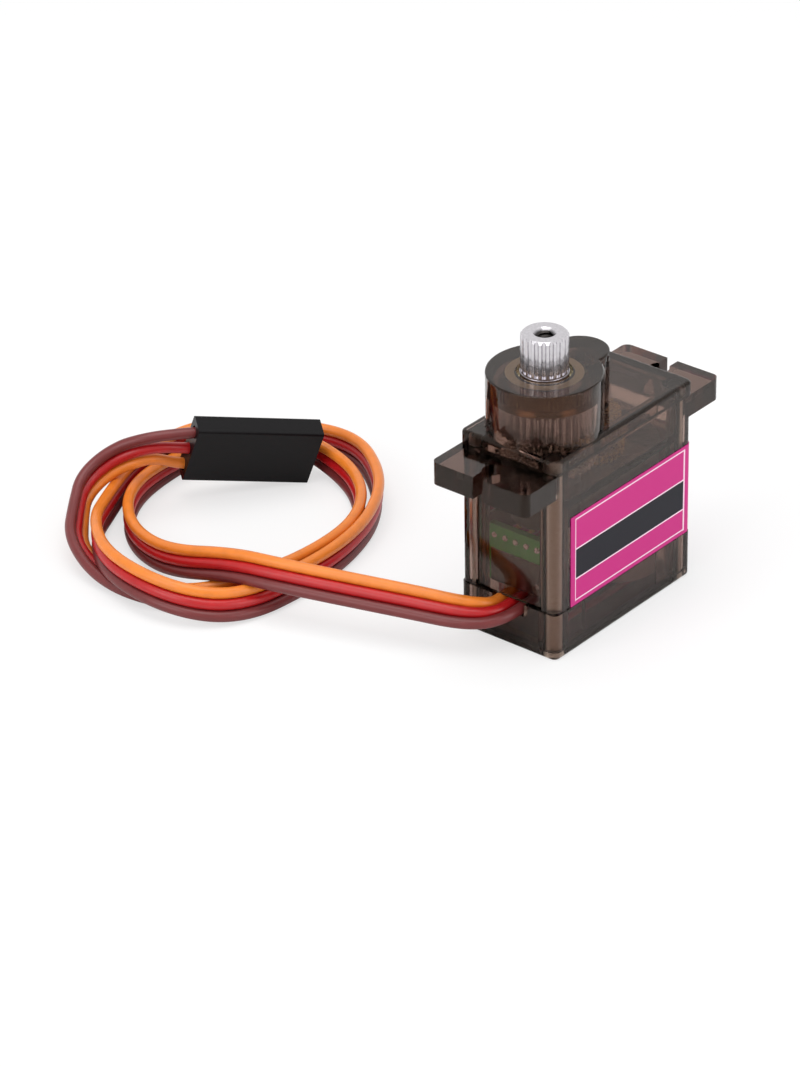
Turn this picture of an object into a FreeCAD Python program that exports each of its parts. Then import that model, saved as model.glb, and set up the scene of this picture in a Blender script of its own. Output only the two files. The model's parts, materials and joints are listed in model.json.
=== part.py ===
"""Micro servo motor with metal gears: a smoked plastic case in three shells, a brushed motor, a four
stage gear train on two axes, a feedback potentiometer, its control board and a three-wire lead.

Millimetres. +Z is up along the output shaft, X runs along the case with the output shaft and the lead at
-X, and Y runs across it. The origin is the centre of the case's bottom face.
"""
import FreeCAD, Part
import math
import os

V = FreeCAD.Vector
UP = V(0, 0, 1)

# ---------------------------------------------------------------- driving dimensions: the case
LENGTH = 22.8            # case without its ears
WIDTH = 12.2
EAR_REACH = 4.7          # each ear beyond the case's end
EAR_UNDERSIDE = 18.6     # height of the ears' mounting face
EAR_THICK = 2.5
EAR_CORNER = 0.8
EAR_HOLE_R = 1.1
EAR_HOLE_INSET = 2.3     # from an ear's end to its hole
EAR_SLOT = 1.3           # open slot from each ear hole to the ear's end
BOTTOM_H = 5.2           # height of the bottom cover
COVER_EDGE = 1.6         # upright side of the top cover, above the ears
TOWER_H = 6.1            # tower above the top cover
WALL = 1.0               # both covers
STEP_IN = 0.1            # the middle case stands this much inside both covers
FLOOR = 1.0
COVER_THICK = 0.9        # top cover's flat part
CORNER_R = 0.7           # upright corners of the case
EDGE_R = 0.35            # rounding of the covers' outer edges

PANEL_DEPTH = 0.3        # recessed panel in the end wall beside the lead
PANEL_SIDE = 1.9         # from the case's side to the panel
PANEL_HEAD = 0.4         # from the ears' underside to the panel
PAD_Y = (-2.1, 3.0)      # raised pad in that panel
PAD_BELOW = (0.9, 3.3)   # below the ears' underside

PLATE_BELOW = 1.2        # top of the gear plate below the ears' underside
PLATE_THICK = 1.0
LIP = 0.4                # locating lips of both covers
LIP_H = 0.6
LIP_GAP = 0.05
LIP_END_GAP = 2.75       # from a screw column to a lip's end
BOSS_WALL = 0.4          # wall of the bosses round both gear axes

# ---------------------------------------------------------------- driving dimensions: screws and label
SCREW_R = 0.7
SCREW_INSET = 1.4        # from the case's sides to a screw's axis
SCREW_GAP = 0.05
SCREW_HEAD_R = 1.15
SCREW_HEAD_H = 0.6
SCREW_HEAD_SINK = 0.1    # head below the bottom face
SCREW_ROOF = 0.6         # plastic left above a screw's tip
SCREW_CROSS = (0.7, 0.14, 0.4)    # half length, half width and depth of the cross recess
COLUMN_R = 1.25
LABEL_THICK = 0.08
LABEL_INSET = 2.5        # from the lead's end of the case to the label
LABEL_H = 10.3           # above the bottom cover

# ---------------------------------------------------------------- driving dimensions: gears
OUTPUT_INSET = 6.0       # output axis from the case's end
PRESSURE = math.radians(25)
ADDENDUM = 0.8           # in modules
DEDENDUM = 1.15
BACKLASH = 0.04          # taken off each gear's teeth at the pitch circle
FINE = 0.2               # module of the motor pinion and the first wheel
COARSE = 0.25            # module of the other gears
MOTOR_PINION = 10        # teeth
FIRST_WHEEL = 40
FIRST_PINION = 10
SECOND_WHEEL = 36
SECOND_PINION = 14
THIRD_WHEEL = 32
THIRD_PINION = 10
OUTPUT_WHEEL = 36
BORE_GAP = 0.05          # radial running clearance of gears on their pins
CAVITY_GAP = 0.35        # beside a wheel inside the tower
LOBE_GAP = 0.65          # beside the third pinion inside the lobe
STACK_GAP = 0.2          # between gears above each other
FIRST_WHEEL_Z = 0.3      # above the gear plate
FIRST_WHEEL_H = 1.0
SECOND_WHEEL_H = 0.8
THIRD_WHEEL_Z = 0.5      # above the second wheel
THIRD_WHEEL_H = 1.1
OUTPUT_WHEEL_Z = 0.1     # above the top cover's flat part
OUTPUT_WHEEL_H = 3.0
PIN_R = 0.5
PIN_SEAT = 1.2           # the pin's length inside the lobe's roof
TOWER_SIDE = 0.05        # the tower's side inside the case's end
LOBE_WALL = 0.9

# ---------------------------------------------------------------- driving dimensions: output shaft
JOURNAL_R = 2.5
SPLINE_H = 4.2           # shaft above the tower
SPLINE_R = 2.45
SPLINE_TEETH = 20
SPLINE_GROOVE = 0.24     # radius of a groove between spline teeth
SPLINE_FOOT = 0.2        # grooves start this far above the tower
SPLINE_BEVEL = 0.25
HORN_HOLE_R = 0.85
HORN_HOLE_DEPTH = 6.0
HORN_HOLE_BEVEL = 0.35
HUB_R = 1.6              # hub under the output wheel
BEARING_R = 4.0
BEARING_H = 2.0
BEARING_RACE = 0.5
BALL_R = 0.5
BALLS = 10
BALL_GAP = 0.02
CAGE_RIM = 0.2           # cage above and below its balls
ROOF = 0.6               # tower roof above the bearing
ROOF_HOLE_GAP = 0.35

# ---------------------------------------------------------------- driving dimensions: potentiometer
POT_R = 3.2
POT_H = 4.0
POT_WALL = 0.4
POT_SHAFT_R = 0.8
POT_TRACK = (1.3, 2.6)   # inner and outer radius of the resistive track
POT_TRACK_H = 0.3
POT_TRACK_GAP = 0.6      # half the gap in the horseshoe
POT_GRIP = 1.6           # length of the shaft inside the output gear
POT_PIN = 0.4
POT_PIN_PITCH = 1.6
POT_PIN_DROP = 1.2
POT_PIN_INSET = 1.28     # from the housing's side to its strips
WIPER = (0.35, 0.3)      # half width and thickness of the wiper arm
WIPER_LIFT = 0.4         # arm above the track

# ---------------------------------------------------------------- driving dimensions: motor
MOTOR_R = 4.6
MOTOR_FOOT = 2.4
CAN_WALL = 0.5
MAGNET_THICK = 0.75
MAGNET_HALF_ANGLE = 65
MAGNET_OVER = 0.5        # magnets beyond both ends of the core
AIR_GAP = 0.3
ARM_SHAFT_R = 0.5
ARM_SHAFT_END = 0.4      # plastic under the shaft
BUSH_R = 1.4
BUSH_GAP = 0.1
BELL_H = 1.8
COMMUTATOR_R = 1.0
COMMUTATOR_H = 1.6
COMMUTATOR_Z = 0.2       # above the end bell
CORE_H = 6.0
CORE_Z = 3.4             # above the end bell
POLES = 3
POLE_WIDTH = 1.2
POLE_GAP = 0.3           # half the slot between two shoes
SHOE_THICK = 0.5
WIRE_BUILD = 0.55        # thickness of a winding round its pole
WINDING_EDGE = 0.33      # rounding of a winding's outer edges
BRUSH = 0.5
BRUSH_Z = 0.3            # above the end bell
TERMINAL = (1.2, 0.3)    # blade width and thickness
TERMINAL_Y = 2.8
TERMINAL_DROP = 1.0
RIB_Y = 1.2              # ribs under the motor
RIB_REACH = 3.2
PINION_Z = 0.1           # above the gear plate
PINION_H = 1.5

# ---------------------------------------------------------------- driving dimensions: board and lead
BOARD_THICK = 0.8
BOARD_INSET = 1.65       # from the case's end to the board
BOARD_SIDE_GAP = 0.05    # beside the screw columns
BOARD_LIFT = 1.35        # board above the wires' axis
BOARD_POT_GAP = 0.1
CHIP = (0.9, 3.2, 3.2)   # thickness, width, height
CHIP_Z = 1.6             # above the board's foot
CHIP_PART = (0.4, 1.0, 0.5)
CHIP_PART_PITCH = 1.1
CHIP_PART_GAP = 0.35
SPOT = (0.3, 0.15)       # radius and height of a solder spot
INNER_WIRE_R = 0.35
WIRE_R = 0.6
WIRE_SPACE = 0.15        # between two wires of the lead
EXIT_Z = 4.55
EXIT_GAP = 0.1           # round the wires in their notch
TAIL_INSET = 3.2         # from the case's end to where the wires stop inside it
JOINT_R = 0.35
WIRE_NAMES = ("signal_wire", "power_wire", "ground_wire")

# The lead's run from the case to its coil: middle of the three wires, measured from the case's end, and how far
# they roll on edge.
RUN = [((-0.8, 0.0, 4.55), 0), ((-2.8, 1.6, 4.6), 45), ((-4.8, 5.2, 4.75), 52), ((-7.1, 11.0, 5.0), 56),
       ((-9.0, 16.6, 5.1), 58), ((-10.7, 21.7, 5.2), 60), ((-11.2, 27.0, 4.5), 66)]
# The lead's last stretch, from its coil up into the connector.
LAST = [((-11.1, 47.8, 2.8), -70), ((-7.9, 51.0, 4.2), -80), ((-4.4, 50.6, 6.2), -90)]
LAST_LEAD = 4.4          # straight lead into the connector
COIL_CENTRE = (0.5, 37.8)
COIL_AXES = (20.6, 16.9)
EYE_CENTRE = (1.2, 37.6)
EYE_AXES = (11.8, 11.4)
COIL_H = 6.3

CONNECTOR = (14.0, 2.5, 7.6)    # length, thickness, width
CONNECTOR_EDGE = 0.3
CONNECTOR_FOOT = (12.85, 37.64) # plan position of its lowest corner, from the case's end
CONNECTOR_YAW = -33.6
CONNECTOR_PITCH = 11.4
CONNECTOR_LEAN = 19.4
SOCKET = 0.7
SOCKET_PITCH = 2.54
CONTACT_INSET = (2.6, 0.6)      # from the connector's wire end and from its socket end
CONTACT_WALL = 0.15
CONTACT_BACK = 1.0
LATCH = (2.0, 0.25, 1.3)        # small window over each contact
LATCH_START = 5.9

# ---------------------------------------------------------------- derived values
EAR_SPAN = LENGTH + 2 * EAR_REACH
EAR_HOLE_X = EAR_SPAN / 2 - EAR_HOLE_INSET
EAR_TOP = EAR_UNDERSIDE + EAR_THICK
CASE_TOP = EAR_TOP + COVER_EDGE
TOWER_TOP = CASE_TOP + TOWER_H
COVER_IN_TOP = CASE_TOP - COVER_THICK
PLATE_TOP = EAR_UNDERSIDE - PLATE_BELOW
PLATE_UNDER = PLATE_TOP - PLATE_THICK
MID_LENGTH = LENGTH - 2 * STEP_IN
MID_WIDTH = WIDTH - 2 * STEP_IN
IN_LENGTH = LENGTH - 2 * WALL
IN_WIDTH = WIDTH - 2 * WALL
SCREW_X = LENGTH / 2 - SCREW_INSET
SCREW_Y = WIDTH / 2 - SCREW_INSET
SCREW_TOP = CASE_TOP - SCREW_ROOF
LIP_HALF = SCREW_X - COLUMN_R - LIP_END_GAP

OUTPUT_X = OUTPUT_INSET - LENGTH / 2
IDLER_X = OUTPUT_X + (OUTPUT_WHEEL + THIRD_PINION) * COARSE / 2
MOTOR_X = IDLER_X + (FIRST_WHEEL + MOTOR_PINION) * FINE / 2
TOWER_IN = OUTPUT_WHEEL * COARSE / 2 + ADDENDUM * COARSE + CAVITY_GAP
TOWER_R = OUTPUT_INSET - TOWER_SIDE
LOBE_IN = THIRD_PINION * COARSE / 2 + ADDENDUM * COARSE + LOBE_GAP
LOBE_R = LOBE_IN + LOBE_WALL
BEARING_TOP = TOWER_TOP - ROOF
BEARING_Z = BEARING_TOP - BEARING_H
SPLINE_TOP = TOWER_TOP + SPLINE_H

FIRST_LOW = PLATE_TOP + FIRST_WHEEL_Z
FIRST_MID = FIRST_LOW + FIRST_WHEEL_H
SECOND_LOW = FIRST_MID + STACK_GAP
SECOND_MID = SECOND_LOW + SECOND_WHEEL_H
FIRST_TOP = SECOND_MID + STACK_GAP
THIRD_LOW = SECOND_MID + THIRD_WHEEL_Z
THIRD_MID = THIRD_LOW + THIRD_WHEEL_H
THIRD_FOOT = FIRST_TOP + LIP_GAP
THIRD_TOP = BEARING_Z - STACK_GAP
SECOND_TOP = THIRD_MID - 2 * LIP_GAP
OUTPUT_LOW = CASE_TOP + OUTPUT_WHEEL_Z
OUTPUT_MID = OUTPUT_LOW + OUTPUT_WHEEL_H

POT_Z = PLATE_UNDER - POT_H
TRACK_Z = POT_Z + POT_WALL
BELL_TOP = MOTOR_FOOT + BELL_H
CORE_LOW = BELL_TOP + CORE_Z
CORE_TOP = CORE_LOW + CORE_H
CAN_IN = MOTOR_R - CAN_WALL
CORE_R = CAN_IN - MAGNET_THICK - AIR_GAP
SHAFT_FOOT = MOTOR_FOOT + ARM_SHAFT_END
PINION_LOW = PLATE_TOP + PINION_Z
PINION_TOP = PINION_LOW + PINION_H

BOARD_X = BOARD_INSET - LENGTH / 2
BOARD_IN = BOARD_X + BOARD_THICK
BOARD_Y = SCREW_Y - COLUMN_R - BOARD_SIDE_GAP
BOARD_LOW = EXIT_Z + BOARD_LIFT
BOARD_TOP = POT_Z - BOARD_POT_GAP
TAIL_END = TAIL_INSET - LENGTH / 2
WIRE_PITCH = 2 * WIRE_R + WIRE_SPACE


# ---------------------------------------------------------------- helpers
def box(x, y, z):
    """A box from three (low, high) pairs."""
    return Part.makeBox(x[1] - x[0], y[1] - y[0], z[1] - z[0], V(x[0], y[0], z[0]))


def pair(a, b):
    return (min(a, b), max(a, b))


def disc(radius, z0, z1, x=0.0, y=0.0):
    """An upright cylinder."""
    return Part.makeCylinder(radius, z1 - z0, V(x, y, z0))


def tube(outer, inner, z0, z1, x=0.0, y=0.0):
    return disc(outer, z0, z1, x, y).cut(disc(inner, z0, z1, x, y))


def slab(length, width, z0, z1, radius):
    """A block centred on the Z axis with rounded upright edges."""
    block = box((-length / 2, length / 2), (-width / 2, width / 2), (z0, z1))
    upright = [e for e in block.Edges if abs(e.tangentAt(e.FirstParameter).z) > 0.9]
    return block.makeFillet(radius, upright)


def union(shapes):
    shapes = list(shapes)
    return shapes[0].multiFuse(shapes[1:]).removeSplitter()


def group(shapes):
    return Part.makeCompound(list(shapes))


def corners():
    """The four screw axes."""
    return [(sx * SCREW_X, sy * SCREW_Y) for sx in (-1, 1) for sy in (-1, 1)]


def polar(radius, angle):
    return V(radius * math.cos(angle), radius * math.sin(angle), 0)


def tooth_edges(teeth, module, centre):
    """Edges of one involute tooth and the root beside it, centred on the angle given."""
    pitch = teeth * module / 2
    base = pitch * math.cos(PRESSURE)
    tip = pitch + ADDENDUM * module
    root = pitch - DEDENDUM * module
    half = math.pi / (2 * teeth) - BACKLASH / (2 * pitch)
    rise = math.tan(PRESSURE) - PRESSURE

    def half_at(radius):
        turn = math.acos(base / radius) if radius > base else 0.0
        return half + rise - (math.tan(turn) - turn)

    foot = max(root, base)
    middle = (foot + tip) / 2
    edges = []
    if root < base:
        edges.append(Part.makeLine(polar(root, centre - half_at(foot)), polar(foot, centre - half_at(foot))))
    flank = [polar(r, centre - half_at(r)) for r in (foot, middle, tip)]
    edges.append(Part.Arc(*flank).toShape())
    edges.append(Part.Arc(polar(tip, centre - half_at(tip)), polar(tip, centre),
                          polar(tip, centre + half_at(tip))).toShape())
    flank = [polar(r, centre + half_at(r)) for r in (tip, middle, foot)]
    edges.append(Part.Arc(*flank).toShape())
    if root < base:
        edges.append(Part.makeLine(polar(foot, centre + half_at(foot)), polar(root, centre + half_at(foot))))
    step = math.pi / teeth
    edges.append(Part.Arc(polar(root, centre + half_at(foot)), polar(root, centre + step),
                          polar(root, centre + 2 * step - half_at(foot))).toShape())
    return edges


def toothed(teeth, module, z0, z1, x, half_pitch=False):
    """A spur gear blank; half_pitch turns it so that a gap faces along X."""
    step = 2 * math.pi / teeth
    start = step / 2 if half_pitch else 0.0
    edges = [e for i in range(teeth) for e in tooth_edges(teeth, module, start + i * step)]
    face = Part.Face(Part.Wire(edges))
    gear = face.extrude(V(0, 0, z1 - z0))
    gear.translate(V(x, 0, z0))
    return gear


def rounded_path(points):
    """Straight runs joined by arcs as large as the runs beside them allow; prints each radius."""
    edges, start, radii = [], points[0], []
    for before, corner, after in zip(points, points[1:], points[2:]):
        back, ahead = (before - corner), (after - corner)
        turn = math.pi - back.getAngle(ahead)
        cut = 0.45 * min(back.Length, ahead.Length)
        radii.append(cut / math.tan(turn / 2))
        entry = corner + back.normalize() * cut
        leave = corner + ahead.normalize() * cut
        inward = (back + ahead).normalize()
        reach = radii[-1] / math.cos(turn / 2) - radii[-1]
        edges.append(Part.LineSegment(start, entry).toShape())
        edges.append(Part.Arc(entry, corner + inward * reach, leave).toShape())
        start = leave
    edges.append(Part.LineSegment(start, points[-1]).toShape())
    if radii:
        print("arc radii", [round(r, 2) for r in radii])
    return Part.Wire(edges)


def sweep(points, radius):
    """A round wire along a path of straight runs and arcs."""
    path = rounded_path(points)
    section = Part.Wire(Part.Circle(points[0], points[1] - points[0], radius).toShape())
    wire = path.makePipeShell([section], True, True)
    expected = math.pi * radius ** 2 * path.Length
    print("wire volume over section x length", round(wire.Volume / expected, 4))
    return wire


# ---------------------------------------------------------------- case
def bottom_cover():
    shell = slab(LENGTH, WIDTH, 0, BOTTOM_H, CORNER_R)
    under = [e for e in shell.Edges if abs(e.BoundBox.ZMax) < 1e-6]
    shell = shell.makeFillet(EDGE_R, under)
    shell = shell.cut(slab(IN_LENGTH, IN_WIDTH, FLOOR, BOTTOM_H, CORNER_R / 2))
    lip_y = IN_WIDTH / 2 - LIP_GAP
    lips = [box((-LIP_HALF, LIP_HALF), pair(s * lip_y, s * (lip_y - LIP)), (FLOOR, BOTTOM_H + LIP_H))
            for s in (-1, 1)]
    roots = [box((-LIP_HALF, LIP_HALF), pair(s * lip_y, s * (lip_y + LIP)), (FLOOR, BOTTOM_H)) for s in (-1, 1)]
    columns = [disc(COLUMN_R, FLOOR, BOTTOM_H, x, y) for x, y in corners()]
    rib_x = (MOTOR_X - RIB_REACH, MOTOR_X + RIB_REACH)
    ribs = [box(rib_x, (y - LIP, y + LIP), (FLOOR, MOTOR_FOOT)) for y in (-RIB_Y, RIB_Y)]
    shell = union([shell] + lips + roots + columns + ribs)
    shell = shell.cut(disc(MOTOR_R, MOTOR_FOOT, BOTTOM_H + LIP_H, MOTOR_X))
    for x, y in corners():
        shell = shell.cut(disc(SCREW_R + SCREW_GAP, 0, BOTTOM_H, x, y))
        shell = shell.cut(disc(SCREW_HEAD_R + SCREW_GAP, 0, SCREW_HEAD_SINK + SCREW_HEAD_H, x, y))
    half = WIRE_PITCH + WIRE_R + EXIT_GAP
    depth = WALL + LIP
    notch = box((-LENGTH / 2 - 1, -LENGTH / 2 + depth), (-half, half), (EXIT_Z - WIRE_R - EXIT_GAP, BOTTOM_H))
    return shell.cut(notch)


def middle_case():
    body = slab(MID_LENGTH, MID_WIDTH, BOTTOM_H, EAR_TOP, CORNER_R)
    ears = slab(EAR_SPAN, MID_WIDTH, EAR_UNDERSIDE, EAR_TOP, EAR_CORNER)
    body = union([body, ears])
    end = -MID_LENGTH / 2
    panel_y = WIDTH / 2 - PANEL_SIDE
    panel = box((end - 1, end + PANEL_DEPTH), (-panel_y, panel_y), (BOTTOM_H, EAR_UNDERSIDE - PANEL_HEAD))
    pad = box((end - 1, end + PANEL_DEPTH), PAD_Y, (EAR_UNDERSIDE - PAD_BELOW[1], EAR_UNDERSIDE - PAD_BELOW[0]))
    body = body.cut(panel.cut(pad))
    columns = group(disc(COLUMN_R, BOTTOM_H, EAR_TOP, x, y) for x, y in corners())
    hollow = [slab(IN_LENGTH, IN_WIDTH, BOTTOM_H, PLATE_UNDER, CORNER_R / 2),
              slab(IN_LENGTH, IN_WIDTH, PLATE_TOP, EAR_TOP, CORNER_R / 2)]
    for space in hollow:
        body = body.cut(space.cut(columns))
    pin_boss = disc(PIN_R + BOSS_WALL, PLATE_TOP, FIRST_LOW - LIP_GAP, IDLER_X)
    pot_boss = disc(POT_SHAFT_R + BOSS_WALL, PLATE_TOP, SECOND_LOW - LIP_GAP, OUTPUT_X)
    body = union([body, pin_boss, pot_boss])
    body = body.cut(disc(BUSH_R + BUSH_GAP, PLATE_UNDER, PLATE_TOP, MOTOR_X))
    body = body.cut(disc(PIN_R, PLATE_UNDER, EAR_TOP, IDLER_X))
    body = body.cut(disc(POT_SHAFT_R + BORE_GAP, PLATE_UNDER, EAR_TOP, OUTPUT_X))
    for x, y in corners():
        body = body.cut(disc(SCREW_R + SCREW_GAP, BOTTOM_H, EAR_TOP, x, y))
    for side in (-1, 1):
        hole_x = side * EAR_HOLE_X
        body = body.cut(disc(EAR_HOLE_R, EAR_UNDERSIDE, EAR_TOP, hole_x))
        body = body.cut(box(pair(hole_x, side * (EAR_SPAN / 2 + 1)), (-EAR_SLOT / 2, EAR_SLOT / 2),
                            (EAR_UNDERSIDE, EAR_TOP)))
    return body


def top_cover():
    plate = slab(LENGTH, WIDTH, EAR_TOP, CASE_TOP, CORNER_R)
    top = [e for e in plate.Edges if e.BoundBox.ZMin > CASE_TOP - 1e-6]
    plate = plate.makeFillet(EDGE_R, top)
    tower = union([disc(TOWER_R, EAR_TOP, TOWER_TOP, OUTPUT_X), disc(LOBE_R, EAR_TOP, TOWER_TOP, IDLER_X)])
    rim = [e for e in tower.Edges if e.BoundBox.ZMin > TOWER_TOP - 1e-6]
    tower = tower.makeFillet(EDGE_R / 2, rim)
    lip_y = IN_WIDTH / 2 - LIP_GAP
    lips = [box((-LIP_HALF, LIP_HALF), pair(s * lip_y, s * (lip_y - LIP)), (EAR_TOP - LIP_H, COVER_IN_TOP))
            for s in (-1, 1)]
    columns = group(disc(COLUMN_R, EAR_TOP, CASE_TOP, x, y) for x, y in corners())
    hollow = slab(IN_LENGTH, IN_WIDTH, EAR_TOP, COVER_IN_TOP, CORNER_R / 2).cut(columns)
    cover = union([plate, tower]).cut(hollow)
    cover = union([cover] + lips)
    cover = cover.cut(disc(TOWER_IN, EAR_TOP - LIP_H, BEARING_Z, OUTPUT_X))
    cover = cover.cut(disc(BEARING_R, BEARING_Z, BEARING_TOP, OUTPUT_X))
    cover = cover.cut(disc(JOURNAL_R + ROOF_HOLE_GAP, BEARING_TOP, TOWER_TOP, OUTPUT_X))
    cover = cover.cut(disc(LOBE_IN, EAR_TOP, BEARING_Z, IDLER_X))
    cover = cover.cut(disc(PIN_R, BEARING_Z, BEARING_Z + PIN_SEAT, IDLER_X))
    for x, y in corners():
        cover = cover.cut(disc(SCREW_R, EAR_TOP, SCREW_TOP, x, y))
    return cover


def case_screws():
    """Four long self-tapping screws, each with a cross recess in its head."""
    screws = []
    for x, y in corners():
        head_z = (SCREW_HEAD_SINK, SCREW_HEAD_SINK + SCREW_HEAD_H)
        screw = union([disc(SCREW_HEAD_R, *head_z, x, y), disc(SCREW_R, head_z[1], SCREW_TOP, x, y)])
        long, short, deep = SCREW_CROSS
        for half_x, half_y in ((long, short), (short, long)):
            screw = screw.cut(box((x - half_x, x + half_x), (y - half_y, y + half_y), (0, head_z[0] + deep)))
        screws.append(screw)
    return group(screws)


def label():
    """A thin sheet stuck round the far end and along both sides."""
    span = (BOTTOM_H + LIP_GAP, BOTTOM_H + LABEL_H)
    outer = slab(MID_LENGTH + 2 * LABEL_THICK, MID_WIDTH + 2 * LABEL_THICK, *span, CORNER_R + LABEL_THICK)
    sheet = outer.cut(slab(MID_LENGTH, MID_WIDTH, *span, CORNER_R))
    return sheet.cut(box((-LENGTH, LABEL_INSET - LENGTH / 2), (-WIDTH, WIDTH), span))


# ---------------------------------------------------------------- output shaft and its bearing
def output_gear():
    """Wheel, journal and splined end in one turned and hobbed piece."""
    wheel = toothed(OUTPUT_WHEEL, COARSE, OUTPUT_LOW, OUTPUT_MID, OUTPUT_X)
    hub = disc(HUB_R, THIRD_MID + LIP_GAP, OUTPUT_LOW, OUTPUT_X)
    collar = disc(JOURNAL_R + BEARING_RACE, OUTPUT_MID, BEARING_Z, OUTPUT_X)
    journal = disc(JOURNAL_R, OUTPUT_MID, TOWER_TOP, OUTPUT_X)
    spline = disc(SPLINE_R, TOWER_TOP, SPLINE_TOP, OUTPUT_X)
    rim = [e for e in spline.Edges if e.BoundBox.ZMin > SPLINE_TOP - 1e-6]
    shaft = union([wheel, hub, collar, journal, spline.makeChamfer(SPLINE_BEVEL, rim)])
    grooves = []
    for i in range(SPLINE_TEETH):
        place = polar(SPLINE_R, 2 * math.pi * i / SPLINE_TEETH)
        grooves.append(disc(SPLINE_GROOVE, TOWER_TOP + SPLINE_FOOT, SPLINE_TOP, OUTPUT_X + place.x, place.y))
    shaft = shaft.cut(group(grooves))
    shaft = shaft.cut(disc(HORN_HOLE_R, SPLINE_TOP - HORN_HOLE_DEPTH, SPLINE_TOP, OUTPUT_X))
    bevel = Part.makeCone(HORN_HOLE_R, HORN_HOLE_R + HORN_HOLE_BEVEL, HORN_HOLE_BEVEL,
                          V(OUTPUT_X, 0, SPLINE_TOP - HORN_HOLE_BEVEL))
    shaft = shaft.cut(bevel)
    return shaft.cut(disc(POT_SHAFT_R, THIRD_MID, OUTPUT_LOW + POT_GRIP, OUTPUT_X))


def ball_places():
    """Middle of each ball, and the radius of their circle."""
    circle = (JOURNAL_R + BEARING_R) / 2
    height = BEARING_Z + BEARING_H / 2
    places = [polar(circle, 2 * math.pi * i / BALLS) + V(OUTPUT_X, 0, height) for i in range(BALLS)]
    return circle, places


def race(inner, outer):
    """A bearing ring with its ball groove."""
    circle, places = ball_places()
    ring = tube(outer, inner, BEARING_Z, BEARING_TOP, OUTPUT_X)
    return ring.cut(Part.makeTorus(circle, BALL_R + BALL_GAP, V(OUTPUT_X, 0, places[0].z), UP))


def bearing_balls():
    return group(Part.makeSphere(BALL_R, place) for place in ball_places()[1])


def bearing_cage():
    circle, places = ball_places()
    half = (BEARING_R - JOURNAL_R) / 2 - BEARING_RACE - BALL_GAP * 3
    height = BALL_R + CAGE_RIM
    ring = tube(circle + half, circle - half, places[0].z - height, places[0].z + height, OUTPUT_X)
    for place in places:
        outward = V(place.x - OUTPUT_X, place.y, 0).normalize()
        ring = ring.cut(Part.makeCylinder(BALL_R + BALL_GAP, 2, place - outward, outward))
    return ring


# ---------------------------------------------------------------- gear train
def compound(wheel, pinion, bore):
    """A wheel and a pinion in one piece with a running bore; each is (teeth, module, low, high, x, phase)."""
    gear = union([toothed(*wheel), toothed(*pinion)])
    return gear.cut(disc(bore + BORE_GAP, wheel[2], pinion[3], wheel[4]))


def first_gear():
    return compound((FIRST_WHEEL, FINE, FIRST_LOW, FIRST_MID, IDLER_X),
                    (FIRST_PINION, COARSE, FIRST_MID, FIRST_TOP, IDLER_X, True), PIN_R)


def second_gear():
    return compound((SECOND_WHEEL, COARSE, SECOND_LOW, SECOND_MID, OUTPUT_X),
                    (SECOND_PINION, COARSE, SECOND_MID, SECOND_TOP, OUTPUT_X), POT_SHAFT_R)


def third_gear():
    gear = compound((THIRD_WHEEL, COARSE, THIRD_LOW, THIRD_MID, IDLER_X, True),
                    (THIRD_PINION, COARSE, THIRD_MID, THIRD_TOP, IDLER_X, True), PIN_R)
    return union([gear, tube(PIN_R + BOSS_WALL, PIN_R + BORE_GAP, THIRD_FOOT, THIRD_LOW, IDLER_X)])


def idler_pin():
    return disc(PIN_R, PLATE_UNDER, BEARING_Z + PIN_SEAT, IDLER_X)


# ---------------------------------------------------------------- potentiometer
def pot_housing():
    cup = disc(POT_R, POT_Z, PLATE_UNDER, OUTPUT_X)
    cup = cup.cut(disc(POT_R - POT_WALL, POT_Z + POT_WALL, PLATE_UNDER - POT_WALL, OUTPUT_X))
    return cup.cut(disc(POT_SHAFT_R + BORE_GAP, PLATE_UNDER - POT_WALL, PLATE_UNDER, OUTPUT_X))


def pot_track():
    """A horseshoe of resistive film on the housing's floor."""
    span = (TRACK_Z, TRACK_Z + POT_TRACK_H)
    ring = tube(POT_TRACK[1], POT_TRACK[0], *span, OUTPUT_X)
    gap = box((OUTPUT_X - POT_R, OUTPUT_X), (-POT_TRACK_GAP, POT_TRACK_GAP), span)
    return ring.cut(gap)


def pot_wiper():
    half, thick = WIPER
    track_top = TRACK_Z + POT_TRACK_H
    arm_z = (track_top + WIPER_LIFT, track_top + WIPER_LIFT + thick)
    hub = disc(POT_SHAFT_R + BOSS_WALL, *arm_z, OUTPUT_X)
    reach = OUTPUT_X + POT_TRACK[1] - thick
    arm = box((OUTPUT_X, reach), (-half, half), arm_z)
    finger = box((reach - half, reach), (-half, half), (track_top + BALL_GAP, arm_z[0]))
    return union([hub, arm, finger]).cut(disc(POT_SHAFT_R, *arm_z, OUTPUT_X))


def pot_shaft():
    return disc(POT_SHAFT_R, TRACK_Z + POT_TRACK_H + WIPER_LIFT / 2, OUTPUT_LOW + POT_GRIP, OUTPUT_X)


def pot_terminals():
    """Three strips that hang from the housing and turn towards the board."""
    strips = []
    x = OUTPUT_X - POT_R + POT_PIN_INSET
    foot = POT_Z - POT_PIN_DROP
    for i in (-1, 0, 1):
        y = (i * POT_PIN_PITCH - POT_PIN / 2, i * POT_PIN_PITCH + POT_PIN / 2)
        drop = box((x, x + POT_PIN), y, (foot, POT_Z))
        turn = box((BOARD_IN, x + POT_PIN), y, (foot, foot + POT_PIN / 2))
        strips.append(union([drop, turn]))
    return group(strips)


# ---------------------------------------------------------------- motor
def motor_can():
    can = disc(MOTOR_R, MOTOR_FOOT, PLATE_UNDER, MOTOR_X)
    can = can.cut(disc(CAN_IN, MOTOR_FOOT, PLATE_UNDER - CAN_WALL, MOTOR_X))
    return can.cut(disc(BUSH_R, PLATE_UNDER - CAN_WALL, PLATE_UNDER, MOTOR_X))


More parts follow.
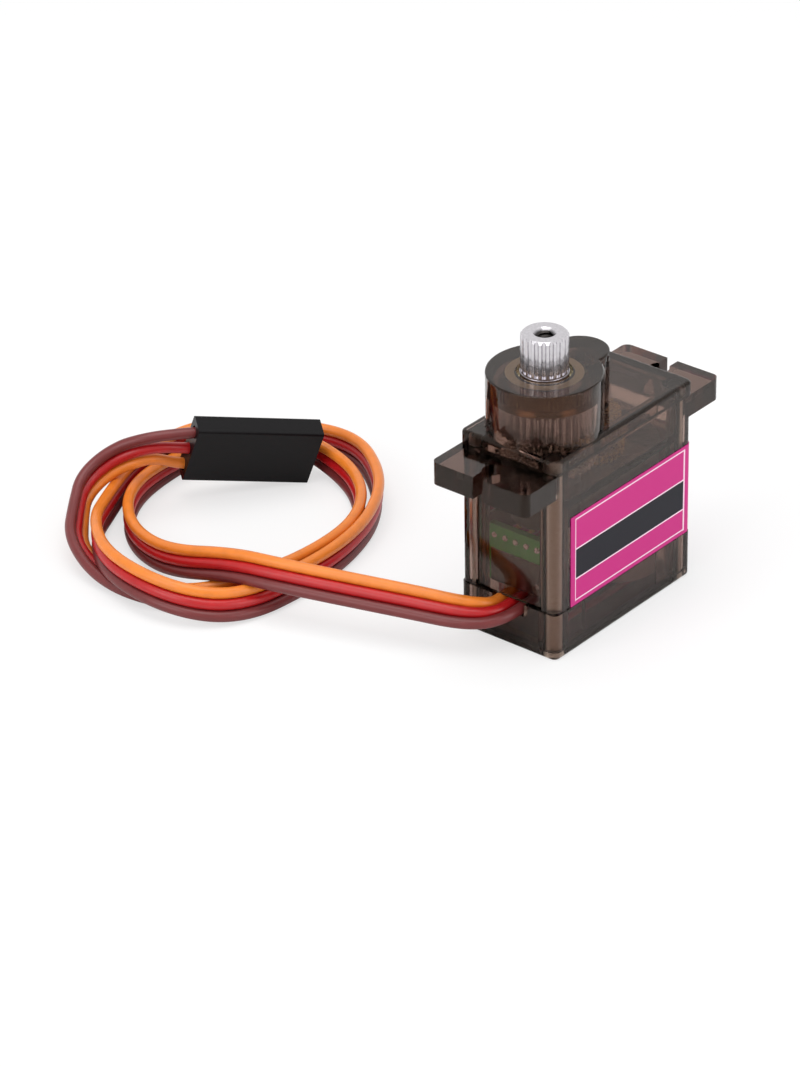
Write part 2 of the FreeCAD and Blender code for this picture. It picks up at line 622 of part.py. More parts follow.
def terminal_blades():
    """Two flat blades through the end bell."""
    wide, thick = TERMINAL
    across = (MOTOR_X - wide / 2, MOTOR_X + wide / 2)
    height = (MOTOR_FOOT - TERMINAL_DROP, BELL_TOP)
    middles = (-TERMINAL_Y, TERMINAL_Y)
    return [box(across, (y - thick / 2, y + thick / 2), height) for y in middles]


def motor_end_bell():
    bell = disc(CAN_IN, MOTOR_FOOT, BELL_TOP, MOTOR_X)
    bell = bell.cut(disc(ARM_SHAFT_R + BORE_GAP, SHAFT_FOOT - BORE_GAP, BELL_TOP, MOTOR_X))
    return bell.cut(group(terminal_blades()))


def motor_bush():
    return tube(BUSH_R, ARM_SHAFT_R + BORE_GAP, PLATE_UNDER - CAN_WALL * 2, PLATE_TOP - STACK_GAP, MOTOR_X)


def motor_magnets():
    """Two arc magnets glued inside the can."""
    span = (CORE_LOW - MAGNET_OVER, CORE_TOP + MAGNET_OVER)
    ring = tube(CAN_IN, CAN_IN - MAGNET_THICK, *span, MOTOR_X)
    reach = CAN_IN * math.tan(math.radians(MAGNET_HALF_ANGLE))
    arcs = []
    for side in (-1, 1):
        edge = MOTOR_X + side * CAN_IN
        wedge = Part.makePolygon([V(MOTOR_X, 0, span[0]), V(edge, -reach, span[0]), V(edge, reach, span[0]),
                                  V(MOTOR_X, 0, span[0])])
        arcs.append(ring.common(Part.Face(wedge).extrude(V(0, 0, span[1] - span[0]))))
    return group(arcs)


def motor_brushes():
    """Two leaf brushes from the terminals to the commutator."""
    x = (MOTOR_X - BRUSH / 2, MOTOR_X + BRUSH / 2)
    z = (BELL_TOP + BRUSH_Z, BELL_TOP + BRUSH_Z + BRUSH)
    leaves = []
    for s in (-1, 1):
        far = s * (TERMINAL_Y + TERMINAL[1] / 2)
        leaf = box(x, pair(s * (COMMUTATOR_R + BALL_GAP), far), z)
        foot = box(x, pair(far, far - s * TERMINAL[1]), (BELL_TOP, z[0]))
        leaves.append(union([leaf, foot]))
    return group(leaves)


def pole_turns():
    return [360.0 * i / POLES for i in range(POLES)]


def spin(shape, angle):
    turned = shape.copy()
    turned.rotate(V(MOTOR_X, 0, 0), UP, angle)
    return turned


def rotor_core():
    span = (CORE_LOW, CORE_TOP)
    neck = box((MOTOR_X, MOTOR_X + CORE_R - SHOE_THICK / 2), (-POLE_WIDTH / 2, POLE_WIDTH / 2), span)
    ring = tube(CORE_R, CORE_R - SHOE_THICK, *span, MOTOR_X)
    gap = box((MOTOR_X - CORE_R - 1, MOTOR_X), (-POLE_GAP, POLE_GAP), span)
    for turn in pole_turns():
        ring = ring.cut(spin(gap, turn))
    core = union([disc(COMMUTATOR_R, *span, MOTOR_X), ring] + [spin(neck, turn) for turn in pole_turns()])
    return core.cut(disc(ARM_SHAFT_R, *span, MOTOR_X))


def rotor_windings():
    """One closed coil round the neck of each pole."""
    reach = (MOTOR_X + COMMUTATOR_R + POLE_GAP, MOTOR_X + CORE_R - SHOE_THICK)
    wide = POLE_WIDTH / 2 + WIRE_BUILD
    coil = box(reach, (-wide, wide), (CORE_LOW - WIRE_BUILD, CORE_TOP + WIRE_BUILD))
    coil = coil.makeFillet(WINDING_EDGE, [e for e in coil.Edges if abs(e.tangentAt(0).x) > 0.9])
    coil = coil.cut(box(reach, (-POLE_WIDTH / 2, POLE_WIDTH / 2), (CORE_LOW, CORE_TOP)))
    limit = disc(CORE_R - SHOE_THICK - BORE_GAP, CORE_LOW - WIRE_BUILD, CORE_TOP + WIRE_BUILD, MOTOR_X)
    return group(spin(coil.common(limit), turn) for turn in pole_turns())


def commutator():
    low = BELL_TOP + COMMUTATOR_Z
    return tube(COMMUTATOR_R, ARM_SHAFT_R, low, low + COMMUTATOR_H, MOTOR_X)


def motor_shaft():
    return disc(ARM_SHAFT_R, SHAFT_FOOT, PINION_TOP, MOTOR_X)


def motor_pinion():
    gear = toothed(MOTOR_PINION, FINE, PINION_LOW, PINION_TOP, MOTOR_X, True)
    return gear.cut(disc(ARM_SHAFT_R, PINION_LOW, PINION_TOP, MOTOR_X))


def motor_leads():
    """Two thin wires from the motor's blades along the floor and up to the board."""
    leads = []
    z = MOTOR_FOOT - TERMINAL_DROP + INNER_WIRE_R
    up_x = BOARD_IN + INNER_WIRE_R + BUSH_GAP
    for s in (-1, 1):
        y = s * TERMINAL_Y
        points = [V(MOTOR_X - TERMINAL[0] / 2, y, z), V(up_x, y, z), V(up_x, y, BOARD_LOW + CHIP_PART_PITCH)]
        leads.append(sweep(points, INNER_WIRE_R))
    return group(leads)


# ---------------------------------------------------------------- control board
def circuit_board():
    return box((BOARD_X, BOARD_IN), (-BOARD_Y, BOARD_Y), (BOARD_LOW, BOARD_TOP))


def control_chip():
    thick, wide, high = CHIP
    low = BOARD_LOW + CHIP_Z
    return box((BOARD_IN, BOARD_IN + thick), (-wide / 2, wide / 2), (low, low + high))


def board_parts():
    """Resistors and capacitors in a column on each side of the chip."""
    thick, wide, high = CHIP_PART
    parts = []
    for s in (-1, 1):
        near = s * (CHIP[1] / 2 + CHIP_PART_GAP)
        for row in range(3):
            low = BOARD_LOW + 2 * CHIP_PART_PITCH + row * CHIP_PART_PITCH
            parts.append(box((BOARD_IN, BOARD_IN + thick), pair(near, near + s * wide), (low, low + high)))
    return group(parts)


def board_solder():
    """Solder spots on the face beside the end wall."""
    radius, high = SPOT
    spots = []
    for i in range(-2, 3):
        for z in (BOARD_LOW + CHIP_PART_PITCH, BOARD_TOP - CHIP_PART_PITCH):
            spots.append(Part.makeCylinder(radius, high, V(BOARD_X - high, i * WIRE_PITCH, z), V(1, 0, 0)))
    return group(spots)


# ---------------------------------------------------------------- lead
def from_end(x, y, z):
    """A point measured from the lead's end of the case."""
    return V(x - LENGTH / 2, y, z)


def offset(index, point, roll, ahead):
    """Where one wire runs beside the middle of the three, rolled about the direction ahead."""
    level = V(ahead.x, ahead.y, 0).normalize()
    right = level.cross(UP)
    angle = math.radians(roll)
    side = right * math.cos(angle) + UP * math.sin(angle)
    return point + side * (1 - index) * WIRE_PITCH


def offset_route(index, route):
    """Offset points of one wire along a route of points and rolls."""
    points = [from_end(*point) for point, roll in route]
    placed = []
    for i, (point, roll) in enumerate(route):
        ahead = points[min(i + 1, len(points) - 1)] - points[max(i - 1, 0)]
        placed.append(offset(index, points[i], roll, ahead))
    return placed


def coil_ring():
    """The outer shape of the coiled lead: a low oval ring on the floor."""
    def oval(centre, axes):
        curve = Part.Ellipse(from_end(*centre, 0), axes[0], axes[1]).toShape()
        return Part.Face(Part.Wire(curve)).extrude(V(0, 0, COIL_H))
    ring = oval(COIL_CENTRE, COIL_AXES).cut(oval(EYE_CENTRE, EYE_AXES))
    block = box((0, CONNECTOR[0]), (0, CONNECTOR[1]), (0, CONNECTOR[2]))
    block.Placement = connector_place()
    return ring.cut(block)


def connector_place():
    """Turns the connector's own frame, wire end at its origin, to where it stands."""
    lean = FreeCAD.Rotation(V(1, 0, 0), CONNECTOR_LEAN)
    pitch = FreeCAD.Rotation(V(0, 1, 0), CONNECTOR_PITCH)
    yaw = FreeCAD.Rotation(UP, CONNECTOR_YAW)
    turn = yaw.multiply(pitch.multiply(lean))
    low = min((turn.multVec(corner) for corner in
               [V(x, y, z) for x in (0, CONNECTOR[0]) for y in (0, CONNECTOR[1]) for z in (0, CONNECTOR[2])]),
              key=lambda p: p.z)
    return FreeCAD.Placement(from_end(*CONNECTOR_FOOT, 0) - low, turn)


def socket_rows():
    """Height of each contact across the connector's width, signal side at the bottom."""
    middle = CONNECTOR[2] / 2
    return [middle - SOCKET_PITCH, middle, middle + SOCKET_PITCH]


def connector_housing():
    body = box((0, CONNECTOR[0]), (0, CONNECTOR[1]), (0, CONNECTOR[2]))
    body = body.makeFillet(CONNECTOR_EDGE, [e for e in body.Edges if abs(e.tangentAt(0).x) > 0.9])
    mid_y = CONNECTOR[1] / 2
    half = SOCKET / 2 + CONTACT_WALL
    for z in socket_rows():
        body = body.cut(box((0, CONNECTOR[0]), (mid_y - half, mid_y + half), (z - half, z + half)))
        body = body.cut(Part.makeCylinder(WIRE_R + LIP_GAP, CONTACT_INSET[0], V(0, mid_y, z), V(1, 0, 0)))
        body = body.cut(box((LATCH_START, LATCH_START + LATCH[0]), (CONNECTOR[1] - LATCH[1], CONNECTOR[1]),
                            (z - LATCH[2] / 2, z + LATCH[2] / 2)))
    body.Placement = connector_place()
    return body


def connector_contacts():
    contacts = []
    mid_y = CONNECTOR[1] / 2
    outer = SOCKET / 2 + CONTACT_WALL
    start, end = CONTACT_INSET[0], CONNECTOR[0] - CONTACT_INSET[1]
    for z in socket_rows():
        contact = box((start, end), (mid_y - outer, mid_y + outer), (z - outer, z + outer))
        contact = contact.cut(box((start + CONTACT_BACK, end), (mid_y - SOCKET / 2, mid_y + SOCKET / 2),
                                  (z - SOCKET / 2, z + SOCKET / 2)))
        contacts.append(contact)
    shape = group(contacts)
    shape.Placement = connector_place()
    return shape


def lead_wires(coil):
    """Each wire from the board through the case's notch to the coil, and from the coil to the connector."""
    place = connector_place()
    ahead = place.Rotation.multVec(V(1, 0, 0))
    wires = []
    for index in range(3):
        tail = V(TAIL_END, (1 - index) * WIRE_PITCH, EXIT_Z)
        run = offset_route(index, RUN)
        run[0] = V(run[0].x, tail.y, EXIT_Z)
        first = sweep([tail] + run, WIRE_R).cut(coil)
        first = max(first.Solids, key=lambda solid: solid.Volume)
        seat = place.multVec(V(CONTACT_INSET[0], CONNECTOR[1] / 2, socket_rows()[index]))
        last = offset_route(index, LAST) + [seat - ahead * LAST_LEAD, seat]
        second = sweep(last, WIRE_R).cut(coil)
        second = max(second.Solids, key=lambda solid: solid.Volume)
        wires.append(group([first, second]))
    return wires


def lead_joints():
    """Tinned wire ends soldered to the board's inner face."""
    joints = []
    for index in range(3):
        y = (1 - index) * WIRE_PITCH
        wide = (y - JOINT_R, y + JOINT_R)
        top = BOARD_LOW + 2 * JOINT_R
        bead = box((BOARD_IN, TAIL_END + 2 * JOINT_R), wide, (BOARD_LOW, top))
        pin = box((TAIL_END, TAIL_END + 2 * JOINT_R), wide, (EXIT_Z - JOINT_R, top))
        joints.append(union([bead, pin]))
    return group(joints)


# ---------------------------------------------------------------- output
def pieces():
    coil = coil_ring()
    wires = lead_wires(coil)
    return {
        "bottom_cover": bottom_cover(), "middle_case": middle_case(), "top_cover": top_cover(),
        "case_screws": case_screws(), "label": label(),
        "output_gear": output_gear(), "bearing_inner_race": race(JOURNAL_R, JOURNAL_R + BEARING_RACE),
        "bearing_outer_race": race(BEARING_R - BEARING_RACE, BEARING_R),
        "bearing_balls": bearing_balls(), "bearing_cage": bearing_cage(),
        "first_gear": first_gear(), "second_gear": second_gear(), "third_gear": third_gear(),
        "idler_pin": idler_pin(),
        "pot_housing": pot_housing(), "pot_track": pot_track(), "pot_wiper": pot_wiper(),
        "pot_shaft": pot_shaft(), "pot_terminals": pot_terminals(),
        "motor_can": motor_can(), "motor_end_bell": motor_end_bell(), "motor_bush": motor_bush(),
        "motor_magnets": motor_magnets(), "motor_brushes": motor_brushes(),
        "motor_terminals": group(terminal_blades()), "motor_leads": motor_leads(),
        "rotor_core": rotor_core(), "rotor_windings": rotor_windings(), "commutator": commutator(),
        "motor_shaft": motor_shaft(), "motor_pinion": motor_pinion(),
        "circuit_board": circuit_board(), "control_chip": control_chip(), "board_parts": board_parts(),
        "board_solder": board_solder(), "lead_joints": lead_joints(),
        **dict(zip(WIRE_NAMES, wires)),
        "cable_coil": coil, "connector_housing": connector_housing(),
        "connector_contacts": connector_contacts(),
    }


os.makedirs("parts", exist_ok=True)
for name, shape in pieces().items():
    if not shape.isValid():
        print("invalid shape", name)
    shape.exportStep(f"parts/{name}.step")
    print(f"{name}: {len(shape.Solids)} solids, {shape.Volume:.2f} mm3")
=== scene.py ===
# %% [markdown]
# # A small geared servo motor
# A hobby servo is a box that turns a shaft to a commanded angle. This one has a see-through smoked case, a
# metal gear train, a splined output shaft, a printed film label and a flat three-wire lead with a plug. The
# engineering model already holds every solid in its right place. Here each one gets the finish of its real
# material, and the lead, which the engineering model only reserves room for, is laid as real wires.

# %% Load the engineering model
import json
import math

import bmesh
import bpy
from mathutils import Matrix, Vector


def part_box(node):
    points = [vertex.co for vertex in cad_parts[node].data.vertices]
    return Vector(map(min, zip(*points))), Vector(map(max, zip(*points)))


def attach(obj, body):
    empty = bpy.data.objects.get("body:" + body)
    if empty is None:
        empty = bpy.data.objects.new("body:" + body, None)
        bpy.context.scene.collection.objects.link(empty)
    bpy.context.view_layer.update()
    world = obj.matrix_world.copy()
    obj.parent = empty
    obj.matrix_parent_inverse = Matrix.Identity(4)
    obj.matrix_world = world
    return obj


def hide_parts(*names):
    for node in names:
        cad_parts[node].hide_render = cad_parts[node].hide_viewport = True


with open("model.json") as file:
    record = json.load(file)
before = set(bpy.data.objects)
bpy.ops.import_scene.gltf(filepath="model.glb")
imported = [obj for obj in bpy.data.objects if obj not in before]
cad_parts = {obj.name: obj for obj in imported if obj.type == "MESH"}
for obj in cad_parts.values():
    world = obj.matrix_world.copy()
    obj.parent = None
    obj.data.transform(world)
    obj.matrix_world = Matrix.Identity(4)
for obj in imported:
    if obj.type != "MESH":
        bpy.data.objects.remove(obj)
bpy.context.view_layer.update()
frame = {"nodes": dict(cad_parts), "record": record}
nodes = frame["nodes"]

# %% [markdown]
# ## Units, colours and a way to add nodes
# Blender works in metres and this object is a few centimetres long, so every size below is written in
# millimetres and multiplied once. Colours are easier to choose as the hex values of a paint chart, but a
# shader wants linear light, so one function converts them. Another function adds a shader node with its
# settings and its links in one call, which keeps each material short enough to read.

# %% Helpers for sizes, colours and nodes
MM = 0.001


def per_metre(size_mm):
    """A noise scale whose features are about that many millimetres across."""
    return 1.0 / (size_mm * MM)


def hex_colour(code):
    """Linear RGBA of an sRGB hex value such as "#c8102e"."""
    parts = [int(code[i:i + 2], 16) / 255 for i in (1, 3, 5)]
    linear = [c / 12.92 if c <= 0.04045 else ((c + 0.055) / 1.055) ** 2.4 for c in parts]
    return (*linear, 1.0)


def add_node(tree, kind, inputs=None, **settings):
    """Adds a node, sets its properties and sets or links its inputs."""
    node = tree.nodes.new(kind)
    for name, value in settings.items():
        setattr(node, name, value)
    for socket, value in (inputs or {}).items():
        if isinstance(value, bpy.types.NodeSocket):
            tree.links.new(value, node.inputs[socket])
        else:
            node.inputs[socket].default_value = value
    return node


print("white:", [round(c, 3) for c in hex_colour("#ffffff")], "1 mm pattern scale:", per_metre(1.0))

# %% [markdown]
# ## Putting new things into the scene
# Most solids come ready from the engineering model. The few things made here, such as wires, lamps and the
# camera, are only data until an object holds them and the scene shows that object. Those steps are the same
# each time, so they are two small functions.

# %% Helpers for new objects
def placed(name, data):
    """An object in the scene that holds the data of a mesh, curve, lamp or camera."""
    item = bpy.data.objects.new(name, data)
    bpy.context.scene.collection.objects.link(item)
    return item


def placed_solid(name, mesh):
    """An object in the scene made from a finished bmesh, which is then freed."""
    data = bpy.data.meshes.new(name)
    mesh.to_mesh(data)
    mesh.free()
    return placed(name, data)


# %% [markdown]
# ## Camera
# A long lens from half a metre away, turned fifty degrees round from the front and thirty degrees up, shows
# the lead's end, the label's side and the top at once. Such a lens keeps upright edges nearly parallel. The
# camera could track a target point, but a position and three turns, in the order azimuth, elevation and roll,
# are easier to correct one at a time.

# %% Camera
AZIMUTH, ELEVATION, ROLL = -50.22, 29.67, -0.93
CAMERA_AT = (-335.833, -256.106, 248.415)
camera_data = bpy.data.cameras.new("camera")
camera_data.sensor_width = 36.0
camera_data.lens = 160.46
camera_data.clip_start = 0.01
camera_data.clip_end = 10.0
camera = placed("camera", camera_data)
round_it = Matrix.Rotation(math.radians(AZIMUTH), 4, "Z")
down_at_it = Matrix.Rotation(math.radians(90 - ELEVATION), 4, "X")
rolled = Matrix.Rotation(math.radians(ROLL), 4, "Z")
camera.matrix_world = Matrix.Translation(Vector(CAMERA_AT) * MM) @ (round_it @ down_at_it @ rolled)
bpy.context.scene.camera = camera
print("camera:", [round(v, 4) for v in camera.matrix_world.translation])

# %% [markdown]
# ## The lead's route
# The lead is a flat ribbon of three PVC wires, 1.2 mm each, side by side. It leaves the case through a notch,
# twists on edge, makes two loose turns and a bit, and ends in a black three-way plug that stands on its long
# edge. A ribbon bends easily only across its thin side, so in the turns it stands on edge with the signal
# wire on top. The way out of the case and the way to the plug are listed points. The loose turns are
# given as radius, height and roll at equal steps, because a turn is easier to shape round its own centre.

# %% Route points of the lead
WIRE_D = 1.2
# Middle of the ribbon in millimetres, and its roll: 0 lies flat, 90 stands on edge with the signal wire up.
RUN = [((-8.2, 0.0, 4.55), 0), ((-11.2, 0.0, 4.5), 4), ((-13.0, 0.25, 4.45), 16), ((-14.6, 1.35, 4.5), 32),
       ((-15.9, 3.5, 4.65), 44), ((-17.1, 6.8, 4.85), 51), ((-18.7, 11.4, 5.0), 56),
       ((-20.4, 16.6, 5.1), 58), ((-22.0, 21.7, 5.2), 60), ((-22.6, 27.0, 4.75), 66)]
LAST = [((-21.8, 49.4, 2.8), -70), ((-18.8, 51.3, 4.0), -80), ((-15.4, 50.4, 5.9), -90)]
# Radius about the coil's centre, height and roll.
FIRST_TURN = [(12.5, 2.4, 80), (11.5, 1.8, 88), (11.2, 1.8, 92), (11.4, 1.8, 92), (12.0, 1.8, 80),
              (14.2, 1.6, 52), (18.2, 1.76, 72), (18.8, 1.8, 96), (16.0, 1.8, 98), (14.3, 1.8, 94),
              (13.95, 1.8, 90), (15.2, 1.75, 76), (19.1, 1.65, 60)]
SECOND_TURN = [(20.3, 2.95, 72), (18.2, 3.4, 82), (15.15, 2.9, 92), (13.2, 1.9, 96), (13.5, 2.4, 85),
               (13.9, 4.2, 60), (14.1, 4.8, 38), (14.5, 3.0, 72), (14.1, 1.8, 98), (13.2, 1.8, 100),
               (12.75, 1.8, 96), (12.75, 1.8, 90), (14.4, 1.8, 76)]
THIRD_TURN = [(16.2, 1.15, 20), (16.8, 0.8, 3), (16.9, 0.8, -8), (17.2, 1.7, -50)]
print("points by hand:", len(RUN) + len(LAST))

# %% Points of the loose turns
COIL_CENTRE = (-10.4, 37.4)
SPREAD = 1.03            # a spline runs a little inside its points
FLOOR_GAP = 0.04         # and dips a little below them
# Each turn with the angle where it starts and the angle from point to point, in degrees.
COIL = [(FIRST_TURN, 190, 27.3), (SECOND_TURN, 203, 27.1), (THIRD_TURN, 214, 21.3)]


def coil_points(turn, first_angle, step):
    """Points of one loose turn, clockwise from its first angle."""
    points = []
    for index, (radius, height, roll) in enumerate(turn):
        angle = math.radians(first_angle - index * step)
        x = COIL_CENTRE[0] + SPREAD * radius * math.cos(angle)
        y = COIL_CENTRE[1] + SPREAD * radius * math.sin(angle)
        points.append(((x, y, height + FLOOR_GAP), roll))
    return points


coil = [point for turn in COIL for point in coil_points(*turn)]
route = RUN + coil + LAST
print("points in the coil:", len(coil), "points before the plug:", len(route))

# %% [markdown]
# ## Into the plug
# The plug stands on its long edge, turned, tipped and leaned, and its three wire holes lie above each other
# along its width. The same three turns give the direction of the holes here, so the last points of the route
# run straight into the middle one.

# %% Route points in the plug
PLUG_FOOT = (1.45, 37.64)
PLUG_YAW, PLUG_TIP, PLUG_LEAN = -33.6, 11.4, 19.4
PLUG_LENGTH, PLUG_THICKNESS, PLUG_WIDTH = 14.0, 2.5, 7.6
BEFORE_PLUG, INTO_PLUG = 4.4, 2.6
turned = Matrix.Rotation(math.radians(PLUG_YAW), 3, "Z")
tipped = Matrix.Rotation(math.radians(PLUG_TIP), 3, "Y")
leaned = Matrix.Rotation(math.radians(PLUG_LEAN), 3, "X")
plug_turn = turned @ tipped @ leaned
plug_ahead = plug_turn @ Vector((1, 0, 0))
plug_up = plug_turn @ Vector((0, 0, 1))
plug_corners = [plug_turn @ Vector((x, y, z))
                for x in (0, PLUG_LENGTH) for y in (0, PLUG_THICKNESS) for z in (0, PLUG_WIDTH)]
lowest = min(plug_corners, key=lambda c: c.z)
plug_origin = Vector((*PLUG_FOOT, 0)) - lowest
entry = plug_origin + plug_turn @ Vector((0, PLUG_THICKNESS / 2, PLUG_WIDTH / 2))
plug_points = [entry - plug_ahead * BEFORE_PLUG, entry, entry + plug_ahead * INTO_PLUG]
print("middle wire hole:", [round(v, 2) for v in entry])

# %% [markdown]
# ## Sideways directions
# One smooth spline will carry the middle wire. A second one carries the direction from the middle wire to its
# neighbour, and a third the distance between them, so that both outer wires follow from the same short lists.
# The rolls of the route give that direction: a flat ribbon has it level, and one on edge has it upright.

# %% Direction and distance of the outer wires
BOARD_PITCHES = [1.35, 1.3]             # a little apart at the board
RIBBON_PITCH = 1.19                     # just touching in the ribbon
PLUG_PITCHES = [1.5, 2.45, 2.54]        # fanned out to the plug's holes
UP = Vector((0, 0, 1))
centres = [Vector(point) for point, _ in route] + plug_points
sides = []
for index, (_, roll) in enumerate(route):
    ahead = centres[index + 1] - centres[max(index - 1, 0)]
    right = Vector((ahead.x, ahead.y, 0)).normalized().cross(UP)
    sides.append(right * math.cos(math.radians(roll)) + UP * math.sin(math.radians(roll)))
sides += [-plug_up] * len(plug_points)
in_ribbon = len(centres) - len(BOARD_PITCHES) - len(PLUG_PITCHES)
pitches = BOARD_PITCHES + [RIBBON_PITCH] * in_ribbon + PLUG_PITCHES
print("points in the whole route:", len(centres))

# %% [markdown]
# ## Smooth lines
# A bevelled curve would be the short way to a wire, but three of them have to keep touching while the ribbon
# twists. So the splines are turned into plain lines with the same number of steps, and the outer wires are
# set off sideways at each step.

# %% Smooth lines from the route
STEPS = 14               # from one point of the route to the next


def spline_points(name, points):
    """Points along a smooth open spline of third order."""
    curve = bpy.data.curves.new(name, "CURVE")
    curve.dimensions = "3D"
    spline = curve.splines.new("NURBS")
    spline.points.add(len(points) - 1)
    for slot, point in zip(spline.points, points):
        slot.co = (*point, 1.0)
    spline.order_u = 3
    spline.use_endpoint_u = True
    spline.resolution_u = STEPS
    holder = placed(name, curve)
    line = bpy.data.meshes.new_from_object(holder)
    found = [vertex.co.copy() for vertex in line.vertices]
    bpy.data.objects.remove(holder)
    bpy.data.meshes.remove(line)
    return found


def direction(line, index):
    """The way a line runs at one of its points."""
    return (line[min(index + 1, len(line) - 1)] - line[max(index - 1, 0)]).normalized()


middle = spline_points("route", [c * MM for c in centres])
outward = spline_points("route_side", sides)
spacing = [point.x for point in spline_points("route_pitch", [Vector((pitch, 0, 0)) for pitch in pitches])]
for index, side in enumerate(outward):
    ahead = direction(middle, index)
    outward[index] = (side - ahead * side.dot(ahead)).normalized()
print("steps:", len(middle), "side steps:", len(outward))

# %% [markdown]
# ## Tubes
# The insulation of a wire is a round tube. It is built ring by ring along its line. Each ring takes its
# sideways direction over from the ring before it, so the tube doesn't twist and its skin stays even.

# %% A round tube along a line
FACETS = 20


def tube(name, line, radius):
    """A closed round tube along a line, with rings that don't twist."""
    mesh = bmesh.new()
    rings = []
    normal = direction(line, 0).orthogonal()
    for index, centre in enumerate(line):
        ahead = direction(line, index)
        normal = (normal - ahead * normal.dot(ahead)).normalized()
        other = ahead.cross(normal)
        ring = []
        for facet in range(FACETS):
            angle = 2 * math.pi * facet / FACETS
            spoke = normal * math.cos(angle) + other * math.sin(angle)
            ring.append(mesh.verts.new(centre + spoke * radius))
        rings.append(ring)
    for one, two in zip(rings, rings[1:]):
        for facet in range(FACETS):
            after = (facet + 1) % FACETS
            mesh.faces.new((one[facet], one[after], two[after], two[facet]))
    mesh.faces.new(list(reversed(rings[0])))
    mesh.faces.new(rings[-1])
    for face in mesh.faces:
        face.smooth = len(face.verts) == 4
    return placed_solid(name, mesh)


print("facet width in mm:", round(WIRE_D * math.sin(math.pi / FACETS), 2))

# %% [markdown]
# ## Laying the wires
# The signal wire lies on one side of the middle one and the ground wire on the other.

# %% Lay the wires
wires = {}
for name, away in (("signal", 1), ("power", 0), ("ground", -1)):
    line = [centre + side * away * gap * MM for centre, side, gap in zip(middle, outward, spacing)]
    piece = tube(f"lead_{name}", line, WIRE_D / 2 * MM)
    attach(piece, "case")
    wires[name] = piece
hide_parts("signal_wire")
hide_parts("power_wire", "cable_coil")
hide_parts("ground_wire")

# %% [markdown]
# ## How every material starts
# A material is a small network of nodes. Every one below starts the same way: an empty network, a principled
# shader, the output, and coordinates that belong to the solid, so that a pattern stays on it when it moves.

# %% Start of a material
def new_material(name):
    """A material with its network, its principled shader, its output and the solid's own coordinates."""
    material = bpy.data.materials.new(name)
    material.use_nodes = True
    tree = material.node_tree
    tree.nodes.clear()
    shader = add_node(tree, "ShaderNodeBsdfPrincipled")
    output = add_node(tree, "ShaderNodeOutputMaterial", {"Surface": shader.outputs[0]})
    place = add_node(tree, "ShaderNodeTexCoord").outputs["Object"]
    return material, tree, shader, output, place


smoked, tree, shader, output, place = new_material("smoked_polycarbonate")
print("a new material has", len(tree.nodes), "nodes")

# %% [markdown]
# ## Smoked polycarbonate
# The case is injection-moulded polycarbonate with a brown-grey dye. It is clear, so the shader lets light
# through it. A tint painted on the surface would look the same everywhere, but the real dye sits in the whole
# thickness. So the tint comes from absorption inside the volume: the ears and the corners, where there is
# more plastic, come out darker than the thin walls. Its index of refraction is about 1.58. The mould's steel
# leaves a faint satin grain, and the plastic's flow a long soft swell.

# %% Smoked plastic
# The real satin is finer than a tenth of a millimetre, and is drawn coarser so that it shows.
SATIN_MM, SATIN_DEPTH = 0.35, 0.02
FLOW_MM, FLOW_DEPTH = 4.0, 0.2
shader.inputs["Base Color"].default_value = hex_colour("#f0e4dc")
shader.inputs["Specular Tint"].default_value = hex_colour("#c2aa9c")
shader.inputs["IOR"].default_value = 1.58
shader.inputs["Transmission Weight"].default_value = 1.0
grain = add_node(tree, "ShaderNodeTexNoise", {
    "Vector": place, "Scale": per_metre(SATIN_MM), "Detail": 3.0}).outputs["Fac"]
satin = add_node(tree, "ShaderNodeMapRange", {"Value": grain, "To Min": 0.03, "To Max": 0.09})
tree.links.new(satin.outputs[0], shader.inputs["Roughness"])
flow = add_node(tree, "ShaderNodeTexNoise", {
    "Vector": place, "Scale": per_metre(FLOW_MM), "Detail": 1.0}).outputs["Fac"]
swell = add_node(tree, "ShaderNodeBump", {"Height": flow, "Strength": 0.25, "Distance": FLOW_DEPTH * MM})
ripple = add_node(tree, "ShaderNodeBump", {
    "Height": grain, "Strength": 0.12, "Distance": SATIN_DEPTH * MM, "Normal": swell.outputs[0]})
tree.links.new(ripple.outputs[0], shader.inputs["Normal"])
dye = add_node(tree, "ShaderNodeVolumeAbsorption", {"Color": hex_colour("#ae9387"), "Density": 1150.0})
tree.links.new(dye.outputs[0], output.inputs["Volume"])
print("dye density per metre:", dye.inputs["Density"].default_value)

# %% [markdown]
# ## Surfaces with a grain
# The metals and the opaque plastics have one thing in common: a fine texture that also shades the colour a
# little. It could be an image wrapped round each part, but a noise in the solid's own coordinates needs no
# unwrapping and has no seams. The sizes are those of the marks that can be seen, and are drawn a few times
# coarser where the real ones are too fine to show.

# %% A material with a grain
SHADED_BELOW, CLEAN_ABOVE = 0.35, 0.65


def grained_material(name, tint, grain_mm, shade):
    """A material whose tint is darker by a share in the low places of its grain."""
    material, tree, shader, _, place = new_material(name)
    grain = add_node(tree, "ShaderNodeTexNoise", {
        "Vector": place, "Scale": per_metre(grain_mm), "Detail": 4.0}).outputs["Fac"]
    base = hex_colour(tint)
    dark = (*[channel * (1 - shade) for channel in base[:3]], 1.0)
    blend = add_node(tree, "ShaderNodeValToRGB", {"Fac": grain})
    low, high = blend.color_ramp.elements
    low.position, high.position = SHADED_BELOW, CLEAN_ABOVE
    low.color, high.color = dark, base
    return material, tree, shader, place, grain, blend.outputs["Color"]


print("share of the grain's range that blends:", round(CLEAN_ABOVE - SHADED_BELOW, 2))
